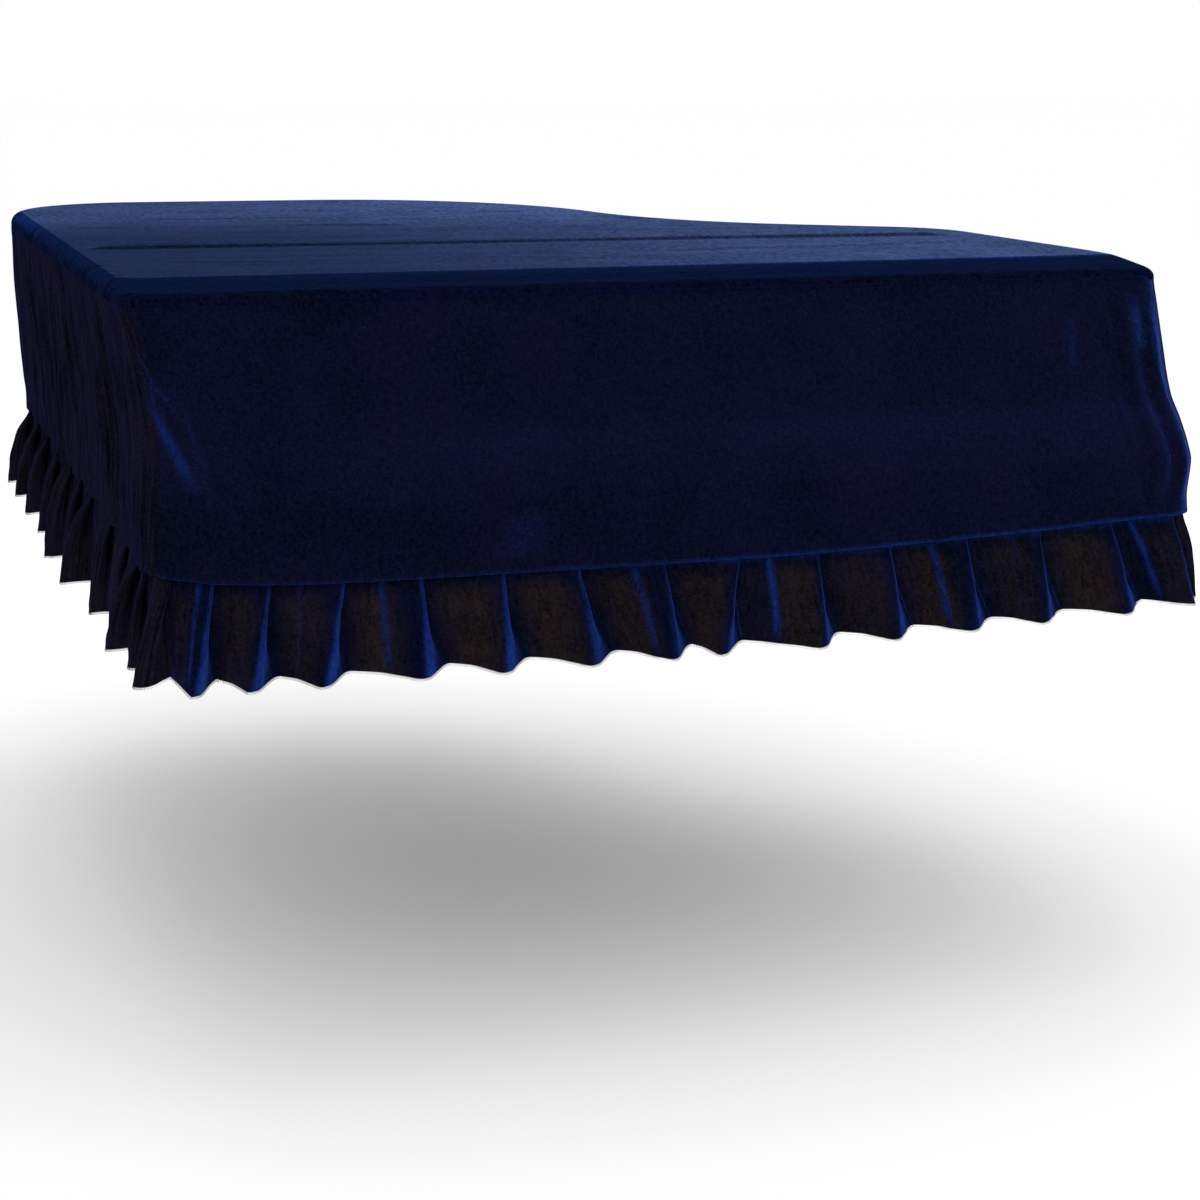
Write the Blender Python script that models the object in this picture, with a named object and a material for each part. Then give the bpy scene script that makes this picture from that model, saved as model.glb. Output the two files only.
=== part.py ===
"""Fitted velvet cover: a flat top, four skirt panels and a knife-pleated ruffle in four strips.

Metres, +Z up. The origin is under the top, where the cover rests. +X runs to the right along the
front, +Y to the narrow tail. Every piece is a sheet of cloth, CLOTH thick, in the shape it hangs in.
"""
import math
from collections import namedtuple
from functools import lru_cache

import bmesh
import bpy
from mathutils import Vector

# Cloth and sewing
CLOTH = 0.002
SEAM_GAP = 0.0005        # between two edges sewn to each other
LAP = 0.008              # how far the ruffle's head runs up inside the skirt
LAP_GAP = 0.0025         # clear space between the skirt's edge and the ruffle's head
NAVY = "#111d4c"

# The plan of the top, measured from its front left corner
ORIGIN_X = 0.750
ORIGIN_Y = 0.600
CORNERS = (
    # name, x, y, radius of the rounding
    ("front_left", 0.000, 0.000, 0.035),
    ("front_right", 1.520, 0.000, 0.045),
    ("cheek", 1.533, 0.170, 0.900),
    ("shoulder", 1.478, 0.635, 0.171),
    ("waist", 1.059, 0.871, 0.500),
    ("tail", 0.922, 1.449, 0.484),
    ("rear_left", 0.000, 1.484, 0.232),
)
FRONT_LEFT, FRONT_RIGHT, SHOULDER, TAIL, REAR_LEFT = 0, 1, 3, 5, 6

# How the front stands forward over the ledge below it, at the two front corners
FRONT_PROFILE = (
    # depth, right corner forward, right drawn in, left corner forward, left drawn in
    (-0.002, 0.000, 0.000, 0.000, 0.000),
    (0.022, 0.002, 0.001, 0.002, 0.002),
    (0.052, 0.015, 0.002, 0.018, 0.010),
    (0.085, 0.031, 0.004, 0.037, 0.015),
    (0.118, 0.045, 0.005, 0.056, 0.019),
    (0.151, 0.060, 0.006, 0.075, 0.021),
    (0.184, 0.078, 0.006, 0.096, 0.021),
    (0.215, 0.107, 0.005, 0.124, 0.018),
    (0.246, 0.129, 0.004, 0.150, 0.013),
    (0.270, 0.141, 0.004, 0.165, 0.008),
    (0.315, 0.140, 0.008, 0.172, 0.004),
    (0.350, 0.147, 0.009, 0.183, 0.001),
    (0.500, 0.150, 0.004, 0.190, 0.000),
)

REAR_OUT = 0.009         # how far the rear left corner bulges at the top
REAR_RUN = 0.30          # the depth over which it draws back in

# Heights of the seam between skirt and ruffle, and of the hem, around the cover
LEVELS = (
    # corner, share of the way to the next corner, height of the seam, height of the hem
    (FRONT_LEFT, 0.00, -0.338, -0.472),
    (FRONT_LEFT, 0.06, -0.352, -0.482),
    (FRONT_LEFT, 0.16, -0.360, -0.483),
    (FRONT_LEFT, 0.55, -0.364, -0.484),
    (FRONT_LEFT, 0.80, -0.355, -0.478),
    (FRONT_RIGHT, 0.00, -0.344, -0.468),
    (SHOULDER, 0.00, -0.346, -0.470),
    (TAIL, 0.00, -0.346, -0.472),
    (REAR_LEFT, 0.00, -0.338, -0.458),
    (REAR_LEFT, 0.56, -0.338, -0.486),
    (REAR_LEFT, 0.90, -0.336, -0.468),
)

# The top panel's rolled edge, and the trough that crosses the panel
ROLL = 0.020
ROLL_STEPS = 3
RIM_DEPTH = 0.022
TROUGH_Y = 0.530
TROUGH_HALF = 0.011
TROUGH_DEEP = 0.003
TROUGH_BENDS = (
    # x, how far the trough strays from its line, share of its depth
    (0.160, 0.004, 0.7),
    (0.480, -0.002, 1.0),
    (0.820, 0.002, 0.9),
    (1.180, -0.003, 0.6),
)

# Folds that hang in the front skirt, by their distance from the front left corner
FRONT_FOLDS = (
    # distance at the top, at the seam, depth where it starts, where it ends, half width, height
    (-0.012, 0.078, 0.085, 0.285, 0.024, 0.009),
    (0.190, 0.215, 0.120, 0.300, 0.050, 0.003),
    (1.425, 1.440, 0.030, 0.330, 0.022, 0.006),
    (1.468, 1.476, 0.040, 0.340, 0.018, 0.006),
)

# Gathers that hang in the side skirts: their main folds
SIDE_FOLDS = (
    # from corner, to corner, folds, height at mid drop, height at the seam
    (FRONT_RIGHT, SHOULDER, 6, 0.006, 0.004),
    (SHOULDER, REAR_LEFT, 13, 0.008, 0.005),
    (REAR_LEFT, len(CORNERS), 12, 0.009, 0.005),
)
SIDE_DRAW_IN = 0.008     # the sides hang this much inside the rim at the seam
DRAW_IN_RUN = 0.30       # over this length past a corner, and down this depth, they draw in
GATHER_RISE = 0.11       # the depth over which the folds open below the rim
GATHER_FALL = (0.20, 0.33)    # the depths between which they ease off to their height at the seam
FRONT_SEAM_DEPTH = 0.350      # where a front fold has its place at the seam
FRONT_FOLD_END = 0.05    # the length over which a front fold dies out
KNOT_END = 0.02          # the last valley lies this far before its corner, and the first one past it
NEAREST = 0.005          # columns closer than this are left out
FRONT_ROWS = (0.0, 0.09, 0.19, 0.32, 0.46, 0.59, 0.765, 1.0)    # shares of the skirt's drop
TAIL_ROWS = (0.0, 0.14, 0.35, 0.65, 1.0)

# Knife pleats of the ruffle: folded flat at the head, opened into waves at the hem
LAYER = 0.0032           # from one folded layer to the next at the head
HEAD_ROUND = 0.0035      # length of a fold's turn at the head
UNDERLAY = 0.024         # how far a pleat folds back under itself at the head
CLEAR_OF_FOLD = 0.004    # where a face starts at the head, past the fold behind it
CREST_BACK = 0.010       # how far before its pressed fold a wave's crest lies at the hem
VALLEY = 0.038           # how far past the pressed fold the wave's valley lies at the hem
ROOM = 0.080             # with less than this to the next fold, a wave opens less
TIP_DROP = 0.004         # how much lower than the hem's level a crest hangs
VALLEY_RISE = 0.005      # how much higher a valley hangs
SWELL_REACH = 0.30       # how far a swell spreads, as a share of its pleat's face
FACE = (
    # share of the way over the face at the head, from valley to crest at the hem, share of its flare there
    (0.36, 0.42, 0.24),
    (0.66, 0.76, 0.70),
    (0.86, 1.00, 1.00),
)
RETURN = (
    # layers out at the head, distance past the pressed fold at the hem, share of its flare there
    (2.0, 0.001, 0.90),
    (1.5, 0.007, 0.74),
    (1.0, 0.013, 0.54),
    (1.0, 0.022, 0.26),
    (0.5, 0.028, 0.10),
    (0.0, 0.033, 0.02),
)
FRONT_PLEATS = (
    # fold at the seam, at the hem, how far it flares, where on its face a second swell lies, its height
    (0.081, 0.052, 0.040, 0.50, 0.002),
    (0.154, 0.127, 0.034, 0.50, 0.000),
    (0.250, 0.220, 0.036, 0.50, 0.002),
    (0.354, 0.353, 0.034, 0.50, 0.003),
    (0.465, 0.462, 0.036, 0.50, 0.000),
    (0.569, 0.584, 0.036, 0.50, 0.002),
    (0.690, 0.697, 0.036, 0.60, 0.009),
    (0.798, 0.768, 0.034, 0.50, 0.002),
    (0.914, 0.911, 0.042, 0.40, 0.014),
    (1.024, 1.026, 0.036, 0.50, 0.002),
    (1.142, 1.147, 0.032, 0.55, 0.009),
    (1.257, 1.259, 0.032, 0.50, 0.001),
    (1.372, 1.389, 0.038, 0.50, 0.003),
    (1.474, 1.496, 0.032, 0.40, 0.012),
)
LEFT_PLEATS = (
    # fold's distance behind the front left corner at the seam, at the hem, how far it flares
    (1.535, 1.560, 0.040),
    (1.415, 1.410, 0.046),
    (1.275, 1.300, 0.045),
    (1.130, 1.170, 0.041),
    (0.980, 1.045, 0.034),
    (0.842, 0.865, 0.040),
    (0.718, 0.765, 0.030),
    (0.600, 0.675, 0.045),
    (0.415, 0.435, 0.033),
    (0.268, 0.300, 0.025),
    (0.122, 0.185, 0.043),
    (0.037, 0.090, 0.024),
    (-0.018, 0.010, 0.036),
)
HIDDEN_PITCH = 0.128     # from fold to fold on the right side and round the tail
HIDDEN_FLARE = 0.038
HIDDEN_LEAN = 0.008      # how far such a fold leans by the hem, one way or the other
HIDDEN_SWELL = 0.003
CORNER_TIP = 0.034       # the first fold past the front right corner
CORNER_FLARE = 0.028
FRONT_OPENING = (
    # share of the ruffle's drop, share of the way along to the hem's places, share sprung out
    (0.00, 0.00, 0.00),
    (0.07, 0.01, 0.01),
    (0.36, 0.36, 0.38),
    (0.68, 0.68, 0.74),
    (1.00, 1.00, 1.00),
)
SIDE_OPENING = (
    (0.00, 0.00, 0.00),
    (0.07, 0.01, 0.01),
    (0.36, 0.36, 0.55),
    (0.68, 0.68, 0.88),
    (1.00, 1.00, 1.00),
)
TUCK = 0.008             # how far a strip's end hides behind its last fold at the head
JOIN = 0.036             # how far past that fold it reaches at the hem, to the wave's valley
STRIP_GAP = 0.0015       # from one strip's end to the next strip
RIGHT_END = 0.03         # how far past the shoulder the right side's strip ends
TAIL_END = 0.03          # how far short of the rear corner the curved strip ends

Stretch = namedtuple("Stretch", "start heading turn radius length")
Column = namedtuple("Column", "head_at head_out hem_at hem_out drop")


def clear_scene():
    for item in list(bpy.data.objects):
        bpy.data.objects.remove(item, do_unlink=True)


def linear(channel):
    return channel / 12.92 if channel <= 0.04045 else ((channel + 0.055) / 1.055) ** 2.4


def velvet(name):
    """Cotton-backed velvet: dull and dark face on, with a soft sheen where it turns away."""
    made = bpy.data.materials.new(name)
    made.use_nodes = True
    shader = made.node_tree.nodes["Principled BSDF"]
    channels = [linear(int(NAVY[i:i + 2], 16) / 255) for i in (1, 3, 5)]
    shader.inputs["Base Color"].default_value = (*channels, 1.0)
    shader.inputs["Roughness"].default_value = 0.9
    shader.inputs["Metallic"].default_value = 0.0
    shader.inputs["Sheen Weight"].default_value = 0.6
    return made


def smooth(share):
    share = max(0.0, min(1.0, share))
    return share * share * (3 - 2 * share)


def uneven(count):
    """A steady but irregular swing between -1 and 1, so that repeats aren't alike."""
    return math.sin(2.399 * count + 1.3)


def read_table(rows, at, column):
    """The value in a column at a place between two rows; the first column rises."""
    if at <= rows[0][0]:
        return rows[0][column]
    for low, high in zip(rows, rows[1:]):
        if at <= high[0]:
            share = (at - low[0]) / (high[0] - low[0])
            return low[column] + (high[column] - low[column]) * share
    return rows[-1][column]


def corners_at(z):
    """The outline's corners and their radii at one height."""
    right_out, right_in, left_out, left_in = (
        read_table(FRONT_PROFILE, -z, column) for column in (1, 2, 3, 4))
    placed = []
    for name, x, y, radius in CORNERS:
        if name == "front_left":
            x, y = x + left_in, y - left_out
        elif name == "front_right":
            x, y = x - right_in, y - right_out
        elif name == "rear_left":
            x -= REAR_OUT * min(1.0, max(0.0, 1 + z / REAR_RUN))
        placed.append((Vector((x - ORIGIN_X, y - ORIGIN_Y)), radius))
    return placed


@lru_cache(maxsize=None)
def stretches(z):
    """The outline at one height, counter-clockwise: each corner's arc, then the straight after it."""
    corners = corners_at(z)
    arcs = []
    for i, (corner, radius) in enumerate(corners):
        into = (corner - corners[i - 1][0]).normalized()
        away = (corners[(i + 1) % len(corners)][0] - corner).normalized()
        turn = math.atan2(into.x * away.y - into.y * away.x, into.dot(away))
        reach = radius * math.tan(abs(turn) / 2)
        heading = math.atan2(into.y, into.x)
        arc = Stretch(corner - into * reach, heading, turn, radius, radius * abs(turn))
        arcs.append((arc, corner + away * reach))
    run = []
    for i, (arc, end) in enumerate(arcs):
        straight = arcs[(i + 1) % len(arcs)][0].start - end
        run.append(arc)
        run.append(Stretch(end, math.atan2(straight.y, straight.x), 0.0, 0.0, straight.length))
    return run


REFERENCE = stretches(-0.350)
AROUND = sum(part.length for part in REFERENCE)
HALF_CORNER = REFERENCE[0].length / 2
CORNER_CUT = REFERENCE[0].radius - HALF_CORNER    # what a rounded corner saves on each side


def follow(part, share):
    """The point and the outward direction at a share of one stretch."""
    heading = part.heading + part.turn * share
    outward = Vector((math.sin(heading), -math.cos(heading)))
    if part.turn == 0.0:
        along = Vector((math.cos(heading), math.sin(heading)))
        return part.start + along * part.length * share, outward
    swing = math.copysign(part.radius, part.turn)
    first = Vector((math.sin(part.heading), -math.cos(part.heading)))
    return part.start + (outward - first) * swing, outward


def locate(station):
    """A station, from the middle of the front left corner, as a stretch and a share of it."""
    left = (station + HALF_CORNER) % AROUND
    for index, part in enumerate(REFERENCE):
        if left <= part.length:
            return index, left / part.length
        left -= part.length
    return len(REFERENCE) - 1, 1.0


def corner_station(corner):
    """The station at the middle of a corner's arc; past the last corner, the whole way round."""
    if corner == len(CORNERS):
        return AROUND
    before = sum(part.length for part in REFERENCE[:2 * corner])
    return before + REFERENCE[2 * corner].length / 2 - HALF_CORNER


def wall_point(station, z, out=0.0):
    """A point of the hanging wall, by station and height, and by how far outside the wall it lies."""
    index, share = locate(station)
    point, outward = follow(stretches(z)[index], share)
    placed = point + outward * out
    return Vector((placed.x, placed.y, z))


def level_table():
    rows = []
    for corner, share, seam, hem in LEVELS:
        here, there = corner_station(corner), corner_station(corner + 1)
        rows.append((here + (there - here) * share, seam, hem))
    rows.append((AROUND, LEVELS[0][2], LEVELS[0][3]))
    return rows


LEVEL_ROWS = level_table()


def seam_z(station):
    return read_table(LEVEL_ROWS, station % AROUND, 1)


def hem_z(station):
    return read_table(LEVEL_ROWS, station % AROUND, 2)


def fold_knots():
    """Valleys and crests of the side skirts' folds: station, height at mid drop, height at the seam."""
    knots = [(0.0, 0.0, 0.0)]
    for first, last, folds, middle, seam in SIDE_FOLDS:
        start, end = corner_station(first), corner_station(last)
        pitch = (end - start) / folds
        for i in range(folds):
            valley = start + pitch * i + (0.12 * pitch * uneven(i) if i else KNOT_END)
            crest = start + pitch * (i + 0.5 + 0.12 * uneven(i + 5))
            tall = 1 + 0.3 * uneven(3 * i + first)
            knots.append((valley, 0.0, 0.0))
            knots.append((crest, middle * tall, seam * tall))
        knots.append((end - KNOT_END, 0.0, 0.0))
    knots.append((AROUND, 0.0, 0.0))
    return knots


KNOTS = fold_knots()


def side_fold(station, depth):
    """How far the side skirts' folds stand out, soft from valley to crest."""
    station %= AROUND
    for low, high in zip(KNOTS, KNOTS[1:]):
        if station <= high[0]:
            share = smooth((station - low[0]) / (high[0] - low[0]))
            middle = low[1] + (high[1] - low[1]) * share
            seam = low[2] + (high[2] - low[2]) * share
            break
    rise = smooth((depth - RIM_DEPTH) / GATHER_RISE)
    fall = smooth((depth - GATHER_FALL[0]) / (GATHER_FALL[1] - GATHER_FALL[0]))
    return rise * (middle + (seam - middle) * fall)


def front_fold(station, depth):
    """How far the front skirt's own few folds stand out."""
    height = 0.0
    if station > AROUND / 2:
        station -= AROUND
    for top, seam, start, end, half, tall in FRONT_FOLDS:
        middle = top + (seam - top) * depth / FRONT_SEAM_DEPTH
        off = abs(station - middle) / half
        if off < 1:
            ends = smooth((depth - start) / FRONT_FOLD_END) * smooth((end - depth) / FRONT_FOLD_END)
            height += tall * (0.5 + 0.5 * math.cos(math.pi * off)) * ends
    return height


def draw_in(station, depth):
    """The sides and tail hang a little inside the rim, and the front doesn't."""
    past = min(station % AROUND - corner_station(FRONT_RIGHT), AROUND - station % AROUND)
    return -SIDE_DRAW_IN * smooth(past / DRAW_IN_RUN) * smooth((depth - RIM_DEPTH) / DRAW_IN_RUN)


def cloth_out(station, z):
    """Where the skirt's cloth hangs, measured out from the wall, its middle layer half a cloth in."""
    station %= AROUND
    folds = side_fold(station, -z) + front_fold(station, -z)
    return folds + draw_in(station, -z) - CLOTH / 2


def close_sheet(name, outer, inner):
    """A closed sheet from two grids of points, rows first, the outer one facing out."""
    shape = bmesh.new()
    grids = [[[shape.verts.new(point) for point in row] for row in grid] for grid in (outer, inner)]
    face, back = grids
    rows, columns = len(face), len(face[0])
    for i in range(rows - 1):
        for j in range(columns - 1):
            shape.faces.new((face[i][j], face[i + 1][j], face[i + 1][j + 1], face[i][j + 1]))
            shape.faces.new((back[i][j], back[i][j + 1], back[i + 1][j + 1], back[i + 1][j]))
    for i in range(rows - 1):
        shape.faces.new((face[i][0], back[i][0], back[i + 1][0], face[i + 1][0]))
        shape.faces.new((face[i + 1][-1], back[i + 1][-1], back[i][-1], face[i][-1]))
    for j in range(columns - 1):
        shape.faces.new((face[0][j], face[0][j + 1], back[0][j + 1], back[0][j]))
        shape.faces.new((face[-1][j + 1], face[-1][j], back[-1][j], back[-1][j + 1]))
    return finish(name, shape)


def finish(name, shape):
    """One named object with its own velvet, from a closed shape."""
    mesh = bpy.data.meshes.new(name)
    shape.to_mesh(mesh)
    shape.free()
    mesh.shade_smooth()
    mesh.set_sharp_from_angle(angle=math.radians(50))
    mesh.materials.append(velvet(name + "_velvet"))
    made = bpy.data.objects.new(name, mesh)
    bpy.context.scene.collection.objects.link(made)
    return made


def step_at(station):
    """How far apart columns may stand, so that they follow the plan's curves."""
    part = REFERENCE[locate(station)[0]]
    return 0.090 if part.turn == 0.0 else min(0.070, 0.28 * part.radius)


def rim_stations():
    """Stations all round the rim, close together where it bends."""
    stations = [0.0]
    while stations[-1] < AROUND - 0.012:
        stations.append(stations[-1] + step_at(stations[-1] + 0.004))
    return stations[:-1] if AROUND - stations[-1] < 0.004 else stations


def top_layer(shape, stations, under):
    """One side of the top panel: its flat middle, its rolled edge and its rim, as rings of points."""
    radius = ROLL - under
    rings = []
    for step in range(ROLL_STEPS + 1):
        angle = math.pi / 2 * step / ROLL_STEPS
        inset = under + radius * (1 - math.sin(angle))
        z = CLOTH - under - radius * (1 - math.cos(angle))
        rings.append([shape.verts.new(wall_point(s, z, -inset)) for s in stations])
    rings.append([shape.verts.new(wall_point(s, -RIM_DEPTH, -under)) for s in stations])
    return rings


def press_trough(shape):
    """Sink a soft trough across the panel's middle, a little uneven in line and depth."""
    line = TROUGH_Y - ORIGIN_Y
    cuts = [((0, line + off, 0), (0, 1, 0)) for off in (-TROUGH_HALF, 0.0, TROUGH_HALF)]
    for place, normal in cuts:
        geometry = shape.verts[:] + shape.edges[:] + shape.faces[:]
        bmesh.ops.bisect_plane(shape, geom=geometry, dist=1e-6, plane_co=place, plane_no=normal)
    for x, _, _ in TROUGH_BENDS:
        place = (x - ORIGIN_X, line, 0)
        near = [face for face in shape.faces if abs(face.calc_center_median().y - line) < TROUGH_HALF]
        near_edges = {edge for face in near for edge in face.edges}
        near_verts = {vert for face in near for vert in face.verts}
        geometry = list(near_verts) + list(near_edges) + near
        bmesh.ops.bisect_plane(shape, geom=geometry, dist=1e-6, plane_co=place, plane_no=(1, 0, 0))
    rows = [(x - ORIGIN_X, stray, share) for x, stray, share in TROUGH_BENDS]
    for vert in shape.verts:
        flat = abs(vert.co.z - CLOTH) < 1e-6 or abs(vert.co.z) < 1e-6
        if flat and abs(vert.co.y - line) < 1e-5:
            vert.co.y += read_table(rows, vert.co.x, 1)
            vert.co.z -= TROUGH_DEEP * read_table(rows, vert.co.x, 2)


def top_panel():
    """The flat top, its edge rolled over the rim, as one sheet with a shallow trough across it."""
    shape = bmesh.new()
    stations = rim_stations()
    outer = top_layer(shape, stations, 0.0)
    inner = top_layer(shape, stations, CLOTH)
    count = len(stations)
    shape.faces.new(outer[0])
    shape.faces.new(list(reversed(inner[0])))
    for i in range(count):
        j = (i + 1) % count
        for high, low in zip(outer, outer[1:]):
            shape.faces.new((high[i], low[i], low[j], high[j]))
        for high, low in zip(inner, inner[1:]):
            shape.faces.new((high[i], high[j], low[j], low[i]))
        shape.faces.new((outer[-1][i], inner[-1][i], inner[-1][j], outer[-1][j]))
    press_trough(shape)
    return finish("top_panel", shape)


def skirt_stations(start, end):
    """Columns for a skirt panel: at the folds' knots and half way between, and close at the bends."""
    marks = {start, end}
    for low, high in zip(KNOTS, KNOTS[1:]):
        if high[1] or low[1]:
            marks.update((low[0], (low[0] + high[0]) / 2, high[0]))
    for row in FRONT_FOLDS:
        middle = (row[0] + row[1]) / 2
        marks.update(middle + row[4] * share for share in (-1.4, -0.7, 0.0, 0.7, 1.4))
    marks = sorted(mark for mark in marks if start <= mark <= end)
    stations = [start]
    for mark in marks[1:]:
        last = stations[-1]
        if mark - last < NEAREST and mark < end:
            continue
        pieces = max(1, math.ceil((mark - last) / step_at((mark + last) / 2)))
        stations += [last + (mark - last) * (k + 1) / pieces for k in range(pieces)]
    return stations


def skirt(name, first, last, rows):
    """A skirt panel between two corners, from just under the rim to the seam."""
    start = corner_station(first) + SEAM_GAP / 2
    end = corner_station(last) - SEAM_GAP / 2
    top = -RIM_DEPTH - SEAM_GAP
    outer, inner = [], []
    for share in rows:
        outer.append([])
        inner.append([])
        for station in skirt_stations(start, end):
            z = top + (seam_z(station) - top) * share
            out = cloth_out(station, z)
            outer[-1].append(wall_point(station, z, out + CLOTH / 2))
            inner[-1].append(wall_point(station, z, out - CLOTH / 2))
    return close_sheet(name, outer, inner)


def pleat(before, tip, spread, flare, swell_at, swell):
    """One knife pleat's columns, from behind the fold before it, over its face and back under."""
    (head_0, valley), (head_1, hem_1) = before, tip
    crest = hem_1 - CREST_BACK * spread
    columns = [Column(head_0 + CLEAR_OF_FOLD, 0.0, valley, 0.0, -VALLEY_RISE)]
    turns = (-HEAD_ROUND, 0.0, -HEAD_ROUND, -UNDERLAY + HEAD_ROUND, -UNDERLAY, -UNDERLAY + HEAD_ROUND)
    places = [(head_0 + (head_1 - head_0) * share, 2 * LAYER * share, valley + (crest - valley) * over,
               flare * out + swell * max(0.0, 1 - abs(share - swell_at) / SWELL_REACH), out)
              for share, over, out in FACE]
    places += [(head_1 + turn, layers * LAYER, hem_1 + past * spread, flare * out, out)
               for turn, (layers, past, out) in zip(turns, RETURN)]
    for head_at, head_out, hem_at, hem_out, out in places:
        drop = (VALLEY_RISE + TIP_DROP) * out - VALLEY_RISE
        columns.append(Column(head_at, head_out, hem_at, hem_out, drop))
    return columns


def follow_bends(columns):
    """Add columns where the strip runs round a bend."""
    fuller = [columns[0]]
    for column in columns[1:]:
        last = fuller[-1]
        gap = abs(column.head_at - last.head_at)
        pieces = max(1, math.ceil(gap / step_at((column.head_at + last.head_at) / 2)))
        for k in range(pieces):
            share = (k + 1) / pieces
            fuller.append(Column(*(a + (b - a) * share for a, b in zip(last, column))))
    return fuller


def offset_line(points, half):
    """Both sides of a line of (along, out) points, half a cloth away, mitred at its turns."""
    left, right = [], []
    for i, point in enumerate(points):
        before = (point - points[i - 1]).normalized() if i else None
        after = (points[i + 1] - point).normalized() if i + 1 < len(points) else None
        before = before or after
        after = after or before
        normal = Vector((-before.y - after.y, before.x + after.x)).normalized()
        miter = min(2.2, 1 / max(0.3, normal.dot(Vector((-after.y, after.x)))))
        left.append(point + normal * half * miter)
        right.append(point - normal * half * miter)
    return left, right


def ruffle(name, start, end, pleats, opening):
    """A strip of ruffle hung inside the skirt's edge, pleated at its head and flaring to its hem."""
    columns = []
    before = (start[0] - CLEAR_OF_FOLD, start[1])
    for head, hem, spread, *shape in pleats:
        columns += pleat(before, (head, hem), spread, *shape)
        before = (head, hem + VALLEY * spread)
    columns.append(Column(end[0], 0.0, end[1], 0.0, -VALLEY_RISE))
    columns = follow_bends(columns)
    base = -CLOTH - LAP_GAP - 2 * LAYER
    outer, inner = [], []
    for share, shifted, sprung in opening:
        line = [Vector((c.head_at + (c.hem_at - c.head_at) * shifted,
                        c.head_out + (c.hem_out - c.head_out) * sprung)) for c in columns]
        outer.append([])
        inner.append([])
        for column, out_side, in_side in zip(columns, *offset_line(line, CLOTH / 2)):
            station = column.head_at
            head = seam_z(station) + LAP
            z = head + (hem_z(station) - column.drop - head) * share
            folds = cloth_out(station, max(z, seam_z(station))) * (1 - 0.5 * shifted)
            outer[-1].append(wall_point(out_side.x, z, base + folds + out_side.y))
            inner[-1].append(wall_point(in_side.x, z, base + folds + in_side.y))
    return close_sheet(name, outer, inner)


def hidden_pleats(start, end):
    """Even but not equal pleats for the strips that the front doesn't show."""
    count = round((end - start) / HIDDEN_PITCH)
    pitch = (end - start) / count
    made = []
    for i in range(count):
        at = start + pitch * (i + 1) + (0.1 * pitch * uneven(i) if i < count - 1 else 0)
        flare = HIDDEN_FLARE * (1 + 0.12 * uneven(i + 3))
        lean = HIDDEN_LEAN * uneven(2 * i)
        made.append((at, at + lean, flare, 0.5, HIDDEN_SWELL * (1 + uneven(i))))
    return made


def spread_out(pleats, after):
    """Pleats with how widely each opens into its wave at the hem: 1 where the next leaves it room."""
    hems = [row[1] for row in pleats[1:]] + [after]
    return [(head, hem, min(1.0, (later - hem) / ROOM), *shape)
            for (head, hem, *shape), later in zip(pleats, hems)]


def ruffle_strips():
    """The four strips of ruffle; each ends behind its last fold, in the valley where the next begins."""
    front = [(head - CORNER_CUT, hem - CORNER_CUT, *rest) for head, hem, *rest in FRONT_PLEATS]
    left = [(AROUND - head, AROUND - hem, flare, 0.5, 0.0) for head, hem, flare in LEFT_PLEATS]
    right_end = corner_station(SHOULDER) + RIGHT_END
    tail_end = corner_station(REAR_LEFT) - TAIL_END
    turn = corner_station(FRONT_RIGHT) + CORNER_TIP
    right = [(turn, turn, CORNER_FLARE, 0.5, 0.0)] + hidden_pleats(turn, right_end)
    curve = hidden_pleats(right_end, tail_end)
    strips = (
        ("ruffle_front", spread_out(front, right[0][1]), FRONT_OPENING),
        ("ruffle_right", spread_out(right, curve[0][1]), SIDE_OPENING),
        ("ruffle_curve", spread_out(curve, left[0][1]), SIDE_OPENING),
        ("ruffle_left", spread_out(left, front[0][1] + AROUND), SIDE_OPENING),
    )
    ends = [(pleats[-1][0] - TUCK, pleats[-1][1] + JOIN * pleats[-1][2]) for _, pleats, _ in strips]
    begin = (ends[-1][0] - AROUND + STRIP_GAP, ends[-1][1] - AROUND + STRIP_GAP)
    for (name, pleats, opening), end in zip(strips, ends):
        ruffle(name, begin, end, pleats, opening)
        begin = (end[0] + STRIP_GAP, end[1] + STRIP_GAP)


def main():
    clear_scene()
    top_panel()
    skirt("skirt_front", FRONT_LEFT, FRONT_RIGHT, FRONT_ROWS)
    skirt("skirt_right", FRONT_RIGHT, SHOULDER, FRONT_ROWS)
    skirt("skirt_curve", SHOULDER, REAR_LEFT, TAIL_ROWS)
    skirt("skirt_left", REAR_LEFT, len(CORNERS), FRONT_ROWS)
    ruffle_strips()


main()
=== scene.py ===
"""Dress for a fitted velvet cover: its cloth with gathers, creases and nap, its overlocked hem and a stage.

Metres, +Z up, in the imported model's own frame. The plan of the cover and its pleats repeat the sizes in the
part's source; each cloth here lies on the solid that it stands for.
"""
import math
from collections import namedtuple

import bpy
import numpy as np
from bpy.props import FloatProperty, FloatVectorProperty, PointerProperty
from mathutils import Matrix, Vector, kdtree, noise
from mathutils.geometry import delaunay_2d_cdt


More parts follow.
